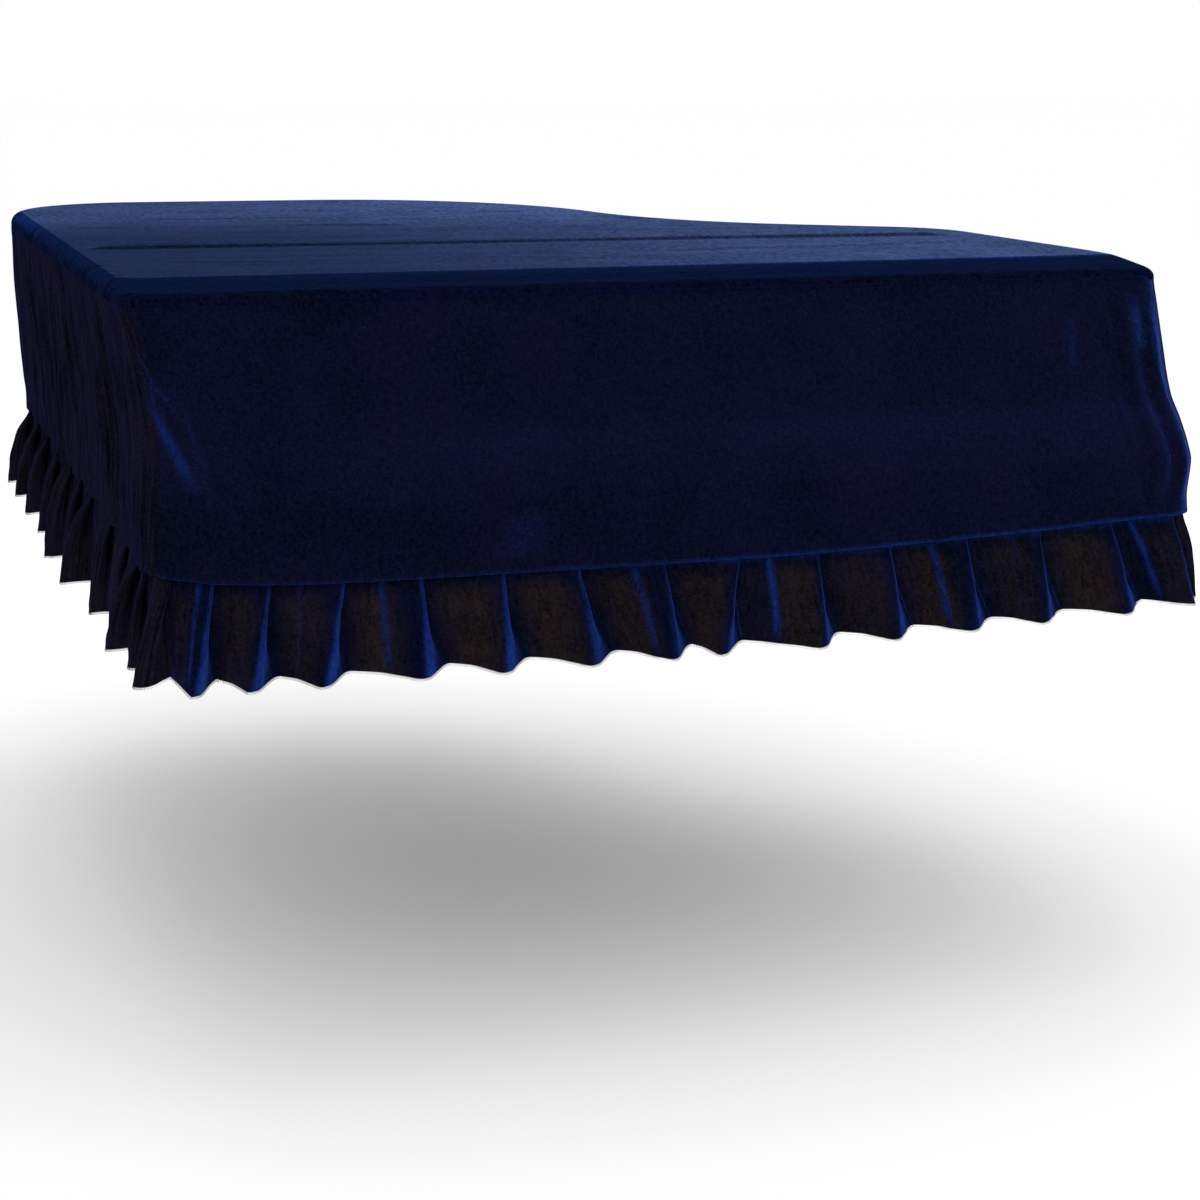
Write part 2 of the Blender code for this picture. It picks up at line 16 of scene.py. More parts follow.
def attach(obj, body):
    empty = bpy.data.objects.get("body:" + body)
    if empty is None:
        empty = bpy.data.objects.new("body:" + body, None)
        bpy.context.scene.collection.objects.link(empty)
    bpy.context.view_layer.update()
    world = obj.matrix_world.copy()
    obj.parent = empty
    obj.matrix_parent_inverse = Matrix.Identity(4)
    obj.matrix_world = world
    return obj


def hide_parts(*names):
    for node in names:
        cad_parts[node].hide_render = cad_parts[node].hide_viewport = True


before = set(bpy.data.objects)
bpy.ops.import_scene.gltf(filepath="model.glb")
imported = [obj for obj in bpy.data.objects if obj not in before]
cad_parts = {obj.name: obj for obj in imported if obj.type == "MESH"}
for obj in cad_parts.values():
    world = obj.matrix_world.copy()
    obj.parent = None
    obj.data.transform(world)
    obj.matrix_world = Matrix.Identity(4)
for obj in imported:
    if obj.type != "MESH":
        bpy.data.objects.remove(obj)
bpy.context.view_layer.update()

bl_info = {
    "name": "Velvet Cover",
    "version": (1, 0, 0),
    "blender": (4, 5, 0),
    "location": "View3D > Sidebar > Cover",
    "description": "Dresses the packed model of a fitted velvet cover with its cloth, hem and stage",
    "category": "Object",
}

# Sewing
CLOTH = 0.002            # thickness of the solids that carry the cloth
LAP = 0.008              # how far the ruffle's head runs up inside the skirt
LAP_GAP = 0.0025         # from the skirt's solid to the ruffle's outermost layer
SEAM_GAP = 0.0004        # between two edges that meet at a seam
EDGE_TURN = 0.0012       # radius of an edge that is turned in at a seam
TURN_STEPS = (0.0, 0.25, 0.6, 1.0)     # where the turned edge has points, in shares of that radius
ALLOWANCE = 0.006        # how far a panel runs on behind the next one, or behind the rim
ALLOWANCE_SINK = 0.0034  # how much deeper the cloth lies there
ALLOWANCE_STEPS = np.array((0.0006, 0.0012, 0.0024, ALLOWANCE))    # where the allowance has points
CRISP_ANGLE = math.radians(55)         # edges that bend more sharply than this stay crisp
INWARDS = -1.0           # the drawn surface is the cloth's outside
BOTH_WAYS = 0.0          # the drawn surface is the cloth's middle

# The plan of the top, measured from its front left corner
ORIGIN_X = 0.750
ORIGIN_Y = 0.600
CORNERS = (
    # name, x, y, radius of the rounding
    ("front_left", 0.000, 0.000, 0.035),
    ("front_right", 1.520, 0.000, 0.045),
    ("cheek", 1.533, 0.170, 0.900),
    ("shoulder", 1.478, 0.635, 0.171),
    ("waist", 1.059, 0.871, 0.500),
    ("tail", 0.922, 1.449, 0.484),
    ("rear_left", 0.000, 1.484, 0.232),
)
FRONT_LEFT, FRONT_RIGHT, SHOULDER, TAIL, REAR_LEFT = 0, 1, 3, 5, 6

# How far the two front corners stand forward and are drawn in below the rim
FRONT_PROFILE = np.array((
    # depth, right corner forward, right drawn in, left corner forward, left drawn in
    (-0.002, 0.000, 0.000, 0.000, 0.000),
    (0.022, 0.002, 0.001, 0.002, 0.002),
    (0.052, 0.015, 0.002, 0.018, 0.010),
    (0.085, 0.031, 0.004, 0.037, 0.015),
    (0.118, 0.045, 0.005, 0.056, 0.019),
    (0.151, 0.060, 0.006, 0.075, 0.021),
    (0.184, 0.078, 0.006, 0.096, 0.021),
    (0.215, 0.107, 0.005, 0.124, 0.018),
    (0.246, 0.129, 0.004, 0.150, 0.013),
    (0.270, 0.141, 0.004, 0.165, 0.008),
    (0.315, 0.140, 0.008, 0.172, 0.004),
    (0.350, 0.147, 0.009, 0.183, 0.001),
    (0.500, 0.150, 0.004, 0.190, 0.000),
))

REAR_OUT = 0.009         # how far the rear left corner stands out at the rim
REAR_RUN = 0.30          # depth at which it no longer does
WALL_COLUMNS = 2500
WALL_RISE = 0.003        # from one height of the wall's grid to the next
WALL_HEIGHTS = np.arange(-0.531, 0.0061, WALL_RISE)

# Heights of the seam between skirt and ruffle, and of the hem, around the cover
LEVELS = (
    # corner, share of the way to the next corner, height of the seam, height of the hem
    (FRONT_LEFT, 0.00, -0.338, -0.472),
    (FRONT_LEFT, 0.06, -0.352, -0.482),
    (FRONT_LEFT, 0.16, -0.360, -0.483),
    (FRONT_LEFT, 0.55, -0.364, -0.484),
    (FRONT_LEFT, 0.80, -0.355, -0.478),
    (FRONT_RIGHT, 0.00, -0.344, -0.468),
    (SHOULDER, 0.00, -0.346, -0.470),
    (TAIL, 0.00, -0.346, -0.472),
    (REAR_LEFT, 0.00, -0.338, -0.458),
    (REAR_LEFT, 0.56, -0.338, -0.486),
    (REAR_LEFT, 0.90, -0.336, -0.468),
)

# The top: its rolled edge, and the creases pressed into its flat
ROLL = 0.020             # radius of the rolled edge
ROLL_STEPS = 8
RIM_DEPTH = 0.022        # depth at which the rim meets the skirt
RIM_STEPS = 4
RIM_COLUMNS = 1150
FLAT_STEP = (0.012, 0.005)     # spacing of the flat's points across and along the cover
FLAT_CLEARANCE = 0.004   # how far they keep from its border
BLOCK = 50               # points of the border that are compared with them at a time
INSIDE_THE_LOOP = 1      # which faces the triangulation gives
MERGED_BELOW = 1e-6      # distance below which it merges points
QUIET_BORDER = 0.05      # distance from the border over which waves and creases come up
RIDGE_Y = -0.460         # in front of this line the flat slopes down to the rolled front edge
FRONT_SLOPE = 0.067      # how steeply
FRONT_RIM_Y = -0.598     # before this line the rim faces the front
HANGING_BELOW = -0.010   # below this height the rolled edge is the hanging rim
TOP_CREASES = (
    # x and y of one end, x and y of the other, half width, height, how far it strays from a straight line
    (-0.735, -0.034, 0.680, -0.090, 0.013, 0.0050, 0.005),
    (-0.705, 0.330, -0.600, 0.312, 0.010, 0.0018, 0.003),
    (-0.660, 0.030, -0.350, 0.045, 0.012, 0.0012, 0.006),
    (-0.330, 0.306, -0.150, 0.270, 0.010, 0.0020, 0.004),
    (0.240, 0.330, 0.420, 0.290, 0.010, 0.0034, 0.004),
    (0.050, 0.120, 0.560, 0.100, 0.014, 0.0012, 0.008),
    (-0.640, -0.250, -0.100, -0.300, 0.014, 0.0012, 0.010),
    (0.120, -0.240, 0.640, -0.210, 0.014, 0.0011, 0.008),
    (-0.560, 0.480, -0.180, 0.440, 0.014, 0.0016, 0.008),
    (-0.150, 0.560, 0.120, 0.500, 0.012, 0.0014, 0.006),
)
CREASE_BENDS = 7.3       # how much a crease bends to and fro on its way, in radians
CREASE_SHIFT = 5.0       # what sets one crease's bends apart from another's
CREASE_TAPER = 0.04      # share of its length over which a crease comes up at either end
SWELL_ACROSS = 0.0013    # height of the flat's long soft waves
FLAT_WAVES = (
    # how close along the cover, how far they bend, how often, where their bends start,
    # how close across the cover, where they start
    (34, 1.3, 2.1, 0.0, 1.7, 0.8),
    (61, 2.0, 1.3, 1.0, 2.9, 2.0),
)

# Painted highlight on the top, standing in for its sheen: more towards the right and the tail, and along its
# creases
TOP_LIT = 0.06
TOP_LIT_SLOPES = (
    # axis, how much more, from where, over what distance
    (0, 0.40, -0.60, 1.2),
    (1, 0.30, 0.10, 0.5),
)
FULL_CREASE = 0.004      # height from which a crease is marked in full
CREASE_DARK = (0.8, -0.5, 1.3)         # painted shade on its near side: how much darker, place and half width in half widths
CREASE_LIGHT = (0.25, 1.4, 1.0)        # painted highlight on its far side: how much lighter, and the same
LIT_ON_RIM = (-0.012, 0.010)           # height below which the rim gets no painted highlight, and over which that fades
LIT_BEFORE_RIDGE = 0.020               # distance before the ridge over which it fades

# Folds that hang in the front skirt, by their distance from the front left corner
FRONT_FOLDS = (
    # distance at the top, at the seam, depth where it starts, where it ends, half width, height
    (-0.012, 0.078, 0.085, 0.285, 0.024, 0.009),
    (0.190, 0.215, 0.120, 0.300, 0.050, 0.003),
    (1.425, 1.440, 0.030, 0.330, 0.022, 0.006),
    (1.468, 1.476, 0.040, 0.340, 0.018, 0.006),
)
FRONT_SEAM_DEPTH = 0.350 # depth of the seam below the front
FRONT_FOLD_END = 0.05    # length over which such a fold fades at either end

# Gathers that hang in the side skirts: their main folds
SIDE_FOLDS = (
    # from corner, to corner, folds, height at mid drop, height at the seam
    (FRONT_RIGHT, SHOULDER, 6, 0.006, 0.004),
    (SHOULDER, REAR_LEFT, 13, 0.008, 0.005),
    (REAR_LEFT, len(CORNERS), 12, 0.009, 0.005),
)
SIDE_DRAW_IN = 0.008     # how far the sides hang inside the rim
DRAW_IN_RUN = 0.30       # how far from a front corner, and below the rim, they do so in full
GATHER_RISE = 0.11       # from the rim down to where the folds stand out in full
GATHER_FALL = (0.20, 0.33)     # depths between which they go over to their height at the seam
KNOT_END = 0.02          # how far folds keep from a panel's ends
FOLD_STRAY = 0.12        # how far valleys and crests stray, in shares of the pitch
FOLD_UNEVEN = 0.3        # how much the folds' heights differ

# Fine creases, strewn within bands: each from its own seed, so every run gives the same
CREASE_BANDS = (
    # seed, from station, to station, creases, half width, height, starts at depth, length, lean
    (11, 4.44, 5.66, 62, (0.008, 0.019), (0.0018, 0.0048), (-0.035, 0.030), (0.30, 0.42), 0.05),
    (12, 4.44, 5.72, 110, (0.004, 0.008), (0.0010, 0.0028), (0.010, 0.230), (0.08, 0.22), 0.09),
    (13, 4.25, 6.12, 110, (0.003, 0.008), (0.0006, 0.0017), (-0.080, -0.020), (0.03, 0.08), 0.60),
    (14, 2.20, 4.44, 58, (0.009, 0.020), (0.0010, 0.0030), (-0.035, 0.040), (0.30, 0.40), 0.04),
    (15, 1.53, 2.20, 20, (0.008, 0.018), (0.0008, 0.0024), (-0.025, 0.060), (0.26, 0.36), 0.05),
    (16, 0.06, 1.42, 34, (0.004, 0.011), (0.0003, 0.0009), (0.030, 0.240), (0.06, 0.22), 0.06),
    (17, 1.36, 1.50, 9, (0.004, 0.009), (0.0010, 0.0024), (0.040, 0.240), (0.05, 0.14), 0.10),
    (18, 0.02, 0.12, 8, (0.004, 0.009), (0.0010, 0.0022), (0.060, 0.220), (0.06, 0.14), 0.30),
)
CREASE_SPREAD = (0.1, 0.9)     # where in its own share of the band a crease may lie
CREASE_FADE = 0.04       # length over which it fades at either end, at most
FRONT_CREASES = (
    # station at the top, at the bottom, depth of the top, of the bottom, half width, height
    (0.470, 0.405, 0.300, 0.350, 0.012, 0.0022),
    (0.540, 0.460, 0.285, 0.345, 0.014, 0.0026),
    (0.590, 0.535, 0.290, 0.335, 0.010, 0.0020),
    (0.655, 0.640, 0.300, 0.345, 0.010, 0.0014),
    (1.320, 1.322, 0.085, 0.150, 0.006, 0.0016),
    (1.395, 1.405, 0.050, 0.130, 0.009, 0.0034),
)
CREASE_ENDS = 0.3        # share of a front crease over which it fades at either end

# Painted highlights on the front skirt, where its sheen lights its folds, and a soft painted glow low in its
# middle
FRONT_STREAKS = (
    # station above and below, depth above and below, half width, strength
    (-0.012, 0.050, 0.120, 0.250, 0.013, 0.30),
    (-0.020, 0.034, 0.055, 0.160, 0.004, 0.22),
    (-0.014, 0.012, 0.070, 0.190, 0.005, 0.18),
    (1.342, 1.336, 0.062, 0.155, 0.007, 0.15),
    (1.450, 1.452, 0.040, 0.130, 0.010, 0.55),
    (1.468, 1.474, 0.075, 0.150, 0.005, 0.22),
    (1.510, 1.484, 0.125, 0.200, 0.006, 0.40),
    (1.532, 1.508, 0.190, 0.245, 0.006, 0.40),
    (0.500, 0.470, 0.275, 0.352, 0.050, 0.08),
)
STREAK_ENDS = 0.35       # share of a streak over which it fades at either end
SEAM_EDGE = (0.988, 0.010)     # share of the drop where the painted highlight along the seam's edge starts, and grows
SEAM_LIT = (0.10, 0.30)        # its strength at the left, and how much stronger it is towards the right
SEAM_LIT_RUN = (0.3, 0.8)      # where that starts, and over what distance
FRONT_WORN = 0.12        # how far the front's pile is crushed
SIDE_WORN = 0.35
SKIRT_CRUMPLE = (0.055, 0.0008, 3.0)   # width of a dent, height, where in the noise it is taken
RUFFLE_CRUMPLE = (0.024, 0.0016, 8.0)
CRUMPLE_ENDS = 0.02      # distance from the skirt's edges over which its dents fade
CRUMPLED_BELOW = (0.15, 0.30)  # share of the drop from which the ruffle is dented, and over which that grows

# The skirt's panels
SKIRTS = (
    # piece, node, from corner, to corner, material, spacing of its columns, of its rows
    ("front_skirt", "skirt_front", FRONT_LEFT, FRONT_RIGHT, "front velvet", 0.0060, 0.0055),
    ("right_skirt", "skirt_right", FRONT_RIGHT, SHOULDER, "gathered velvet", 0.0050, 0.0060),
    ("curve_skirt", "skirt_curve", SHOULDER, REAR_LEFT, "gathered velvet", 0.0055, 0.0065),
    ("left_skirt", "skirt_left", REAR_LEFT, len(CORNERS), "gathered velvet", 0.0042, 0.0060),
)

# Knife pleats of the ruffle: folded flat at the head, opened into waves at the hem
LAYER = 0.0032           # from one folded layer to the next at the head
HEAD_ROUND = 0.0035      # how far a fold's rounding reaches at the head
UNDERLAY = 0.024         # how far a pleat runs back under its own face at the head
CLEAR_OF_FOLD = 0.004    # how far past a pressed fold the next pleat comes out from behind it
CREST_BACK = 0.010       # how far before its pressed fold a wave's crest lies at the hem
VALLEY = 0.038           # how far past the pressed fold the wave's valley lies at the hem
ROOM = 0.080             # from fold to fold at the hem, where a wave opens in full
TIP_DROP = 0.004         # how far a crest hangs below the hem's line
VALLEY_RISE = 0.005      # how far a valley hangs above it
SWELL_REACH = 0.30       # how far a second swell reaches to either side, in shares of the face
FACE = (
    # share of the way over the face at the head, from valley to crest at the hem, share of its flare there
    (0.36, 0.42, 0.24),
    (0.66, 0.76, 0.70),
    (0.86, 1.00, 1.00),
)
FACE_CURVE = np.array(((0.0, 0.0, 0.0), *FACE))
RETURN = (
    # past the pressed fold at the head, layers out there, past it at the hem, share of the flare there,
    # place on the face, where 1 is its fold
    (-HEAD_ROUND, 2.0, 0.001, 0.90, 0.96),
    (0.0, 1.5, 0.007, 0.74, 1.0),
    (-HEAD_ROUND, 1.0, 0.013, 0.54, 1.04),
    (HEAD_ROUND - UNDERLAY, 1.0, 0.022, 0.26, 1.4),
    (-UNDERLAY, 0.5, 0.028, 0.10, 1.5),
    (HEAD_ROUND - UNDERLAY, 0.0, 0.033, 0.02, 1.6),
)
FRONT_PLEATS = (
    # fold at the seam, at the hem, flare, where a second swell lies, its height,
    # brown patch of thin nap and painted backlight, where it lies, painted highlight, where it lies
    (0.081, 0.052, 0.040, 0.50, 0.002, 0.55, 0.35, 0.60, 0.72),
    (0.154, 0.127, 0.034, 0.50, 0.000, 0.70, 0.45, 0.00, 0.50),
    (0.250, 0.220, 0.036, 0.50, 0.002, 0.65, 0.45, 0.12, 0.40),
    (0.354, 0.353, 0.034, 0.46, 0.003, 1.00, 0.25, 0.45, 0.47),
    (0.465, 0.462, 0.036, 0.50, 0.000, 1.00, 0.50, 0.00, 0.50),
    (0.569, 0.584, 0.036, 0.50, 0.002, 1.00, 0.45, 0.00, 0.50),
    (0.690, 0.697, 0.036, 0.60, 0.009, 0.90, 0.30, 0.45, 0.63),
    (0.798, 0.768, 0.034, 0.50, 0.002, 1.00, 0.50, 0.00, 0.50),
    (0.914, 0.911, 0.042, 0.40, 0.014, 0.90, 0.70, 0.85, 0.38),
    (1.024, 1.026, 0.036, 0.50, 0.002, 0.70, 0.50, 0.00, 0.50),
    (1.142, 1.147, 0.032, 0.55, 0.009, 1.00, 0.35, 0.75, 0.53),
    (1.257, 1.259, 0.032, 0.50, 0.001, 0.60, 0.50, 0.10, 0.60),
    (1.372, 1.389, 0.038, 0.50, 0.003, 1.00, 0.45, 0.00, 0.50),
    (1.474, 1.496, 0.032, 0.40, 0.012, 0.50, 0.75, 0.90, 0.32),
)
LEFT_PLEATS = (
    # fold's distance behind the front left corner at the seam, at the hem, how far it flares
    (1.535, 1.560, 0.040),
    (1.415, 1.410, 0.046),
    (1.275, 1.300, 0.045),
    (1.130, 1.170, 0.041),
    (0.980, 1.045, 0.034),
    (0.842, 0.865, 0.040),
    (0.718, 0.765, 0.030),
    (0.600, 0.675, 0.045),
    (0.415, 0.435, 0.033),
    (0.268, 0.300, 0.025),
    (0.122, 0.185, 0.043),
    (0.037, 0.090, 0.024),
    (-0.018, 0.010, 0.036),
)
HIDDEN_PITCH = 0.128     # from fold to fold where the front doesn't show them
HIDDEN_STRAY = 0.1       # how far folds stray there, in shares of the pitch
HIDDEN_FLARE = 0.038
HIDDEN_UNEVEN = 0.12     # how much their flare differs
HIDDEN_LEAN = 0.008      # how far a pleat leans at the hem, one way or the other
HIDDEN_SWELL = 0.003
HIDDEN_BROWN = (0.65, 0.25)     # how brown a pleat's face is there, and how much that differs
CORNER_TIP = 0.034       # how far past the front right corner its own pleat is folded
CORNER_FLARE = 0.028
CORNER_BROWN = 0.3
FRONT_OPENING = np.array((
    # share of the ruffle's drop, share of the way along to the hem's places, share sprung out
    (0.00, 0.00, 0.00),
    (0.07, 0.01, 0.01),
    (0.36, 0.36, 0.38),
    (0.68, 0.68, 0.74),
    (1.00, 1.00, 1.00),
))
SIDE_OPENING = np.array((
    # the same, opened sooner
    (0.00, 0.00, 0.00),
    (0.07, 0.01, 0.01),
    (0.36, 0.36, 0.55),
    (0.68, 0.68, 0.88),
    (1.00, 1.00, 1.00),
))
TUCK = 0.008             # how far before its last fold a strip ends at the head
JOIN = 0.036             # how far past that fold it ends at the hem
STRIP_GAP = 0.0015       # from one strip to the next
STRIP_END = ((0.0, 0.0), (0.25, 0.7), (1.0, 1.0))  # its allowance: share of the length, of the depth
STRIP_END_FACE = 1.7     # place on the face given to the allowance
RIGHT_END = 0.03         # how far past the shoulder the right strip ends
TAIL_END = 0.03          # how far before the rear left corner the curved strip ends
RUFFLE_ROWS = 30
COLUMN_STEP = 0.0045     # spacing of the ruffle's columns at most
FEWEST_COLUMNS, MOST_COLUMNS = 3, 12   # how many a stretch of a pleat gets
FOLDS_LOST = 0.5         # how much of the skirt's folds is lost at the ruffle's hem

# The ruffle's brown patches and painted highlights, by the place on a pleat's face, where 1 is its fold, and
# by the share of the drop
VALLEY_BROWN = 0.3        # how brown the valley before a pleat is, as a share of the pleat's own patch
BROWN_PLATEAU = 1.15      # more than 1, so that the patch is full around its middle
BROWN_REACH = 0.5         # share of the face over which it falls off
BROWN_BELOW = (0.06, 0.22)      # share of the drop from which the brown patch shows, and over which that grows
LEAST_BROWN = 0.45        # how brown the pile of the sides is at least
STREAK_HALF = 0.08       # half width of a painted highlight streak
RIGHTWARD = (0.45, 0.35)       # where the front's right half starts, over what distance it does
FOLD_LIT = 0.75          # strength of the painted highlight along a fold
BEFORE_FOLD = (0.97, 0.03, 0.08)       # place, half width, how much wider it is at the hem
BEFORE_FOLD_LIT = (0.3, 0.9)           # its strength at the head, how much stronger it is at the hem
PAST_FOLD = (0.8, 1.10, 0.20)          # strength, place, half width
PAST_FOLD_RISE = 1.5     # above 1 it comes up late on the way down
FOLD_LINE = (0.5, 0.99, 0.03)          # strength, place, half width
STREAK_LIT = 0.6
STREAK_TOP = (0.02, 0.1)       # share of the drop from which a streak shows, and over which that grows
STREAK_BOTTOM = (1.05, -0.3)   # the same, upwards from just below the hem
BELOW_SEAM = (0.35, 0.05, 0.09)        # strength, share of the drop, half width

# Finishes
PATCH = 0.110            # the pile leans one way and another in patches a hand wide
PATCH_SHARE = 0.35       # how much they add to the pile's shade
TUFT = 0.0040            # tufts are 0.5 mm apart; they are drawn at 4 mm, the finest that shows
TUFT_SHARE = 0.65
GRAIN_SPREAD = 0.16      # half the range of the mixed shades
CRACK = 0.013            # size of the cracks in thin nap
PAINTED_HIGHLIGHT_BLUE = "#14307a"    # colour of the painted highlight that stands in for the pile's sheen
# the painted highlight's colour on the top, greyer
TOP_PAINTED_HIGHLIGHT = "#4d6092"
ROLLED_SHEEN = "#3676e8" # edge light along the rolled edge
WEAVE_DARK, WEAVE_LIGHT = "#0e0b0c", "#261e1b"     # the brown ground under thin nap
GROUND_WAVE = 0.0126     # threads are 0.4 mm apart; such waves draw them at 4 mm, the finest that shows
TWIST_WAVE = 0.005       # plies twist every 0.8 mm; such waves draw them at 1.6 mm
THREAD_SHADE = 0.006     # length over which the thread's shade changes
STITCH_RISE = 0.75       # how far above the edge a loop's middle lies, in half bites
STITCH_SLANT = 0.45      # radians

# Viewpoint, lights and floor
EYE = (-1.2073, -3.9163, 0.3669)
EYE_YAW = 0.3234
EYE_PITCH = 0.2289
EYE_ROLL = 0.0090
EYE_LENS = 77.04
SENSOR = 36.0
FAR = 100                # beyond this distance the camera sees nothing
FLOOR = -1.0104          # height of the floor
FLOOR_HALF = 30.0
LAMPS = (
    # name, place, what it points at, width and length, watts
    ("overhead", (0.3, 0.9, 3.4), (0.0, 0.0, 0.0), (4.5, 4.0), 40),
    ("front right", (3.4, -3.4, 2.2), (0.2, -0.4, -0.2), (2.5, 2.0), 20),
)

# An angle that never comes back to where it was, however often it is taken
GOLDEN_ANGLE = 2.399

Stretch = namedtuple("Stretch", "start heading turn radius length")
Column = namedtuple("Column", "head_at head_out hem_at hem_out drop face worn lit")
Pleat = namedtuple("Pleat", "head hem flare swell_at swell worn worn_at lit lit_at",
                   defaults=(0.5, 0.0, 0.6, 0.45, 0.0, 0.5))


def hex_linear(code):
    """An sRGB hex colour as linear red, green and blue."""
    channels = [int(code[i:i + 2], 16) / 255 for i in (1, 3, 5)]
    return tuple(c / 12.92 if c <= 0.04045 else ((c + 0.055) / 1.055) ** 2.4 for c in channels)


def smooth(share):
    """A soft rise from 0 to 1."""
    share = np.clip(share, 0.0, 1.0)
    return share * share * (3 - 2 * share)


def ramp(value, start, run):
    """A soft rise from 0 at the start to 1 a run further on; a negative run goes the other way."""
    return smooth((value - start) / run)


def ridge(off):
    """A soft ridge's height, by the distance from its line in half widths."""
    return 0.5 + 0.5 * np.cos(np.pi * np.clip(off, -1, 1))


def band(value, strength, middle, half):
    """A soft ridge of some strength about a middle."""
    return strength * ridge((value - middle) / half)


def uneven(count):
    """A steady but irregular swing between -1 and 1, so that repeats aren't alike."""
    return math.sin(GOLDEN_ANGLE * count + 1.3)


def ease_through(knots, values, at):
    """A smooth curve through a table's values that never swings past them."""
    knots = np.asarray(knots, float)
    values = np.asarray(values, float)
    tail = (1,) * (values.ndim - 1)
    slope = np.diff(values, axis=0) / np.diff(knots).reshape((-1,) + tail)
    same = slope[:-1] * slope[1:] > 0
    tangent = np.empty_like(values)
    tangent[0], tangent[-1] = slope[0], slope[-1]
    both = np.where(same, slope[:-1] + slope[1:], 1.0)
    tangent[1:-1] = np.where(same, 2 * slope[:-1] * slope[1:] / both, 0.0)
    at = np.clip(np.asarray(at, float), knots[0], knots[-1])
    low = np.clip(np.searchsorted(knots, at, side="right") - 1, 0, len(knots) - 2)
    width = knots[low + 1] - knots[low]
    t = ((at - knots[low]) / width).reshape(at.shape + tail)
    width = width.reshape(at.shape + tail)
    rise = values[low + 1] - values[low]
    a, b = tangent[low] * width, tangent[low + 1] * width
    return values[low] + t * (a + t * (3 * rise - 2 * a - b + t * (a + b - 2 * rise)))


# The hanging wall

def corners_at(z):
    """The outline's corners and their radii at one height."""
    right_out, right_in, left_out, left_in = ease_through(
        FRONT_PROFILE[:, 0], FRONT_PROFILE[:, 1:], -z)
    placed = []
    for name, x, y, radius in CORNERS:
        if name == "front_left":
            x, y = x + left_in, y - left_out
        elif name == "front_right":
            x, y = x - right_in, y - right_out
        elif name == "rear_left":
            x -= REAR_OUT * min(1.0, max(0.0, 1 + z / REAR_RUN))
        placed.append((Vector((x - ORIGIN_X, y - ORIGIN_Y)), radius))
    return placed


def stretches(z):
    """The outline at one height, counter-clockwise: each corner's arc, then the straight after it."""
    corners = corners_at(z)
    arcs = []
    for i, (corner, radius) in enumerate(corners):
        into = (corner - corners[i - 1][0]).normalized()
        away = (corners[(i + 1) % len(corners)][0] - corner).normalized()
        turn = math.atan2(into.x * away.y - into.y * away.x, into.dot(away))
        reach = radius * math.tan(abs(turn) / 2)
        heading = math.atan2(into.y, into.x)
        arc = Stretch(corner - into * reach, heading, turn, radius, radius * abs(turn))
        arcs.append((arc, corner + away * reach))
    run = []
    for i, (arc, end) in enumerate(arcs):
        straight = arcs[(i + 1) % len(arcs)][0].start - end
        run.append(arc)
        run.append(Stretch(end, math.atan2(straight.y, straight.x), 0.0, 0.0, straight.length))
    return run


REFERENCE = stretches(-0.350)
LENGTHS = np.array([part.length for part in REFERENCE])
AROUND = float(LENGTHS.sum())
HALF_CORNER = float(LENGTHS[0]) / 2
CORNER_CUT = REFERENCE[0].radius - HALF_CORNER


def corner_station(corner):
    """The station at the middle of a corner's arc; past the last corner, the whole way round."""
    if corner == len(CORNERS):
        return AROUND
    return float(LENGTHS[:2 * corner].sum() + LENGTHS[2 * corner] / 2) - HALF_CORNER


def wall_grid():
    """Points and outward directions of the wall, on a grid of heights and stations."""
    spots = np.arange(WALL_COLUMNS) * AROUND / WALL_COLUMNS
    ends = np.cumsum(LENGTHS)
    left = np.mod(spots + HALF_CORNER, AROUND)
    index = np.clip(np.searchsorted(ends, left), 0, len(ends) - 1)
    share = (left - (ends - LENGTHS)[index]) / LENGTHS[index]
    points, outward = [], []
    for z in WALL_HEIGHTS:
        run = stretches(z)
        start = np.array([tuple(part.start) for part in run])[index]
        first, turn, radius, length = np.array([part[1:] for part in run])[index].T
        heading = first + turn * share
        normal = np.stack((np.sin(heading), -np.cos(heading)), -1)
        before = np.stack((np.sin(first), -np.cos(first)), -1)
        along = np.stack((np.cos(first), np.sin(first)), -1)
        bent = start + (normal - before) * (np.sign(turn) * radius)[:, None]
        straight = start + along * (length * share)[:, None]
        points.append(np.where((turn == 0)[:, None], straight, bent))
        outward.append(normal)
    return np.array(points), np.array(outward)


WALL_POINTS, WALL_OUTWARD = wall_grid()


def wall(station, z, out):
    """Points of the hanging wall, by station and height, and by how far outside the wall they lie."""
    station, z, out = np.broadcast_arrays(station, z, out)
    column = np.mod(station, AROUND) / AROUND * WALL_COLUMNS
    left = np.floor(column).astype(int)
    across = (column - left)[..., None]
    left %= WALL_COLUMNS
    right = (left + 1) % WALL_COLUMNS
    row = np.clip((z - WALL_HEIGHTS[0]) / WALL_RISE, 0, len(WALL_HEIGHTS) - 1.001)
    low = np.floor(row).astype(int)
    up = (row - low)[..., None]

    def between(grid):
        below = grid[low, left] * (1 - across) + grid[low, right] * across
        above = grid[low + 1, left] * (1 - across) + grid[low + 1, right] * across
        return below * (1 - up) + above * up

    flat = between(WALL_POINTS) + between(WALL_OUTWARD) * out[..., None]
    return np.concatenate((flat, z[..., None]), -1)


def level_table():
    """Stations with the heights of the seam and of the hem there, all the way round."""
    rows = []
    for corner, share, seam, hem in LEVELS:
        here, there = corner_station(corner), corner_station(corner + 1)
        rows.append((here + (there - here) * share, seam, hem))
    rows.append((AROUND, LEVELS[0][2], LEVELS[0][3]))
    return np.array(rows)


LEVEL_ROWS = level_table()


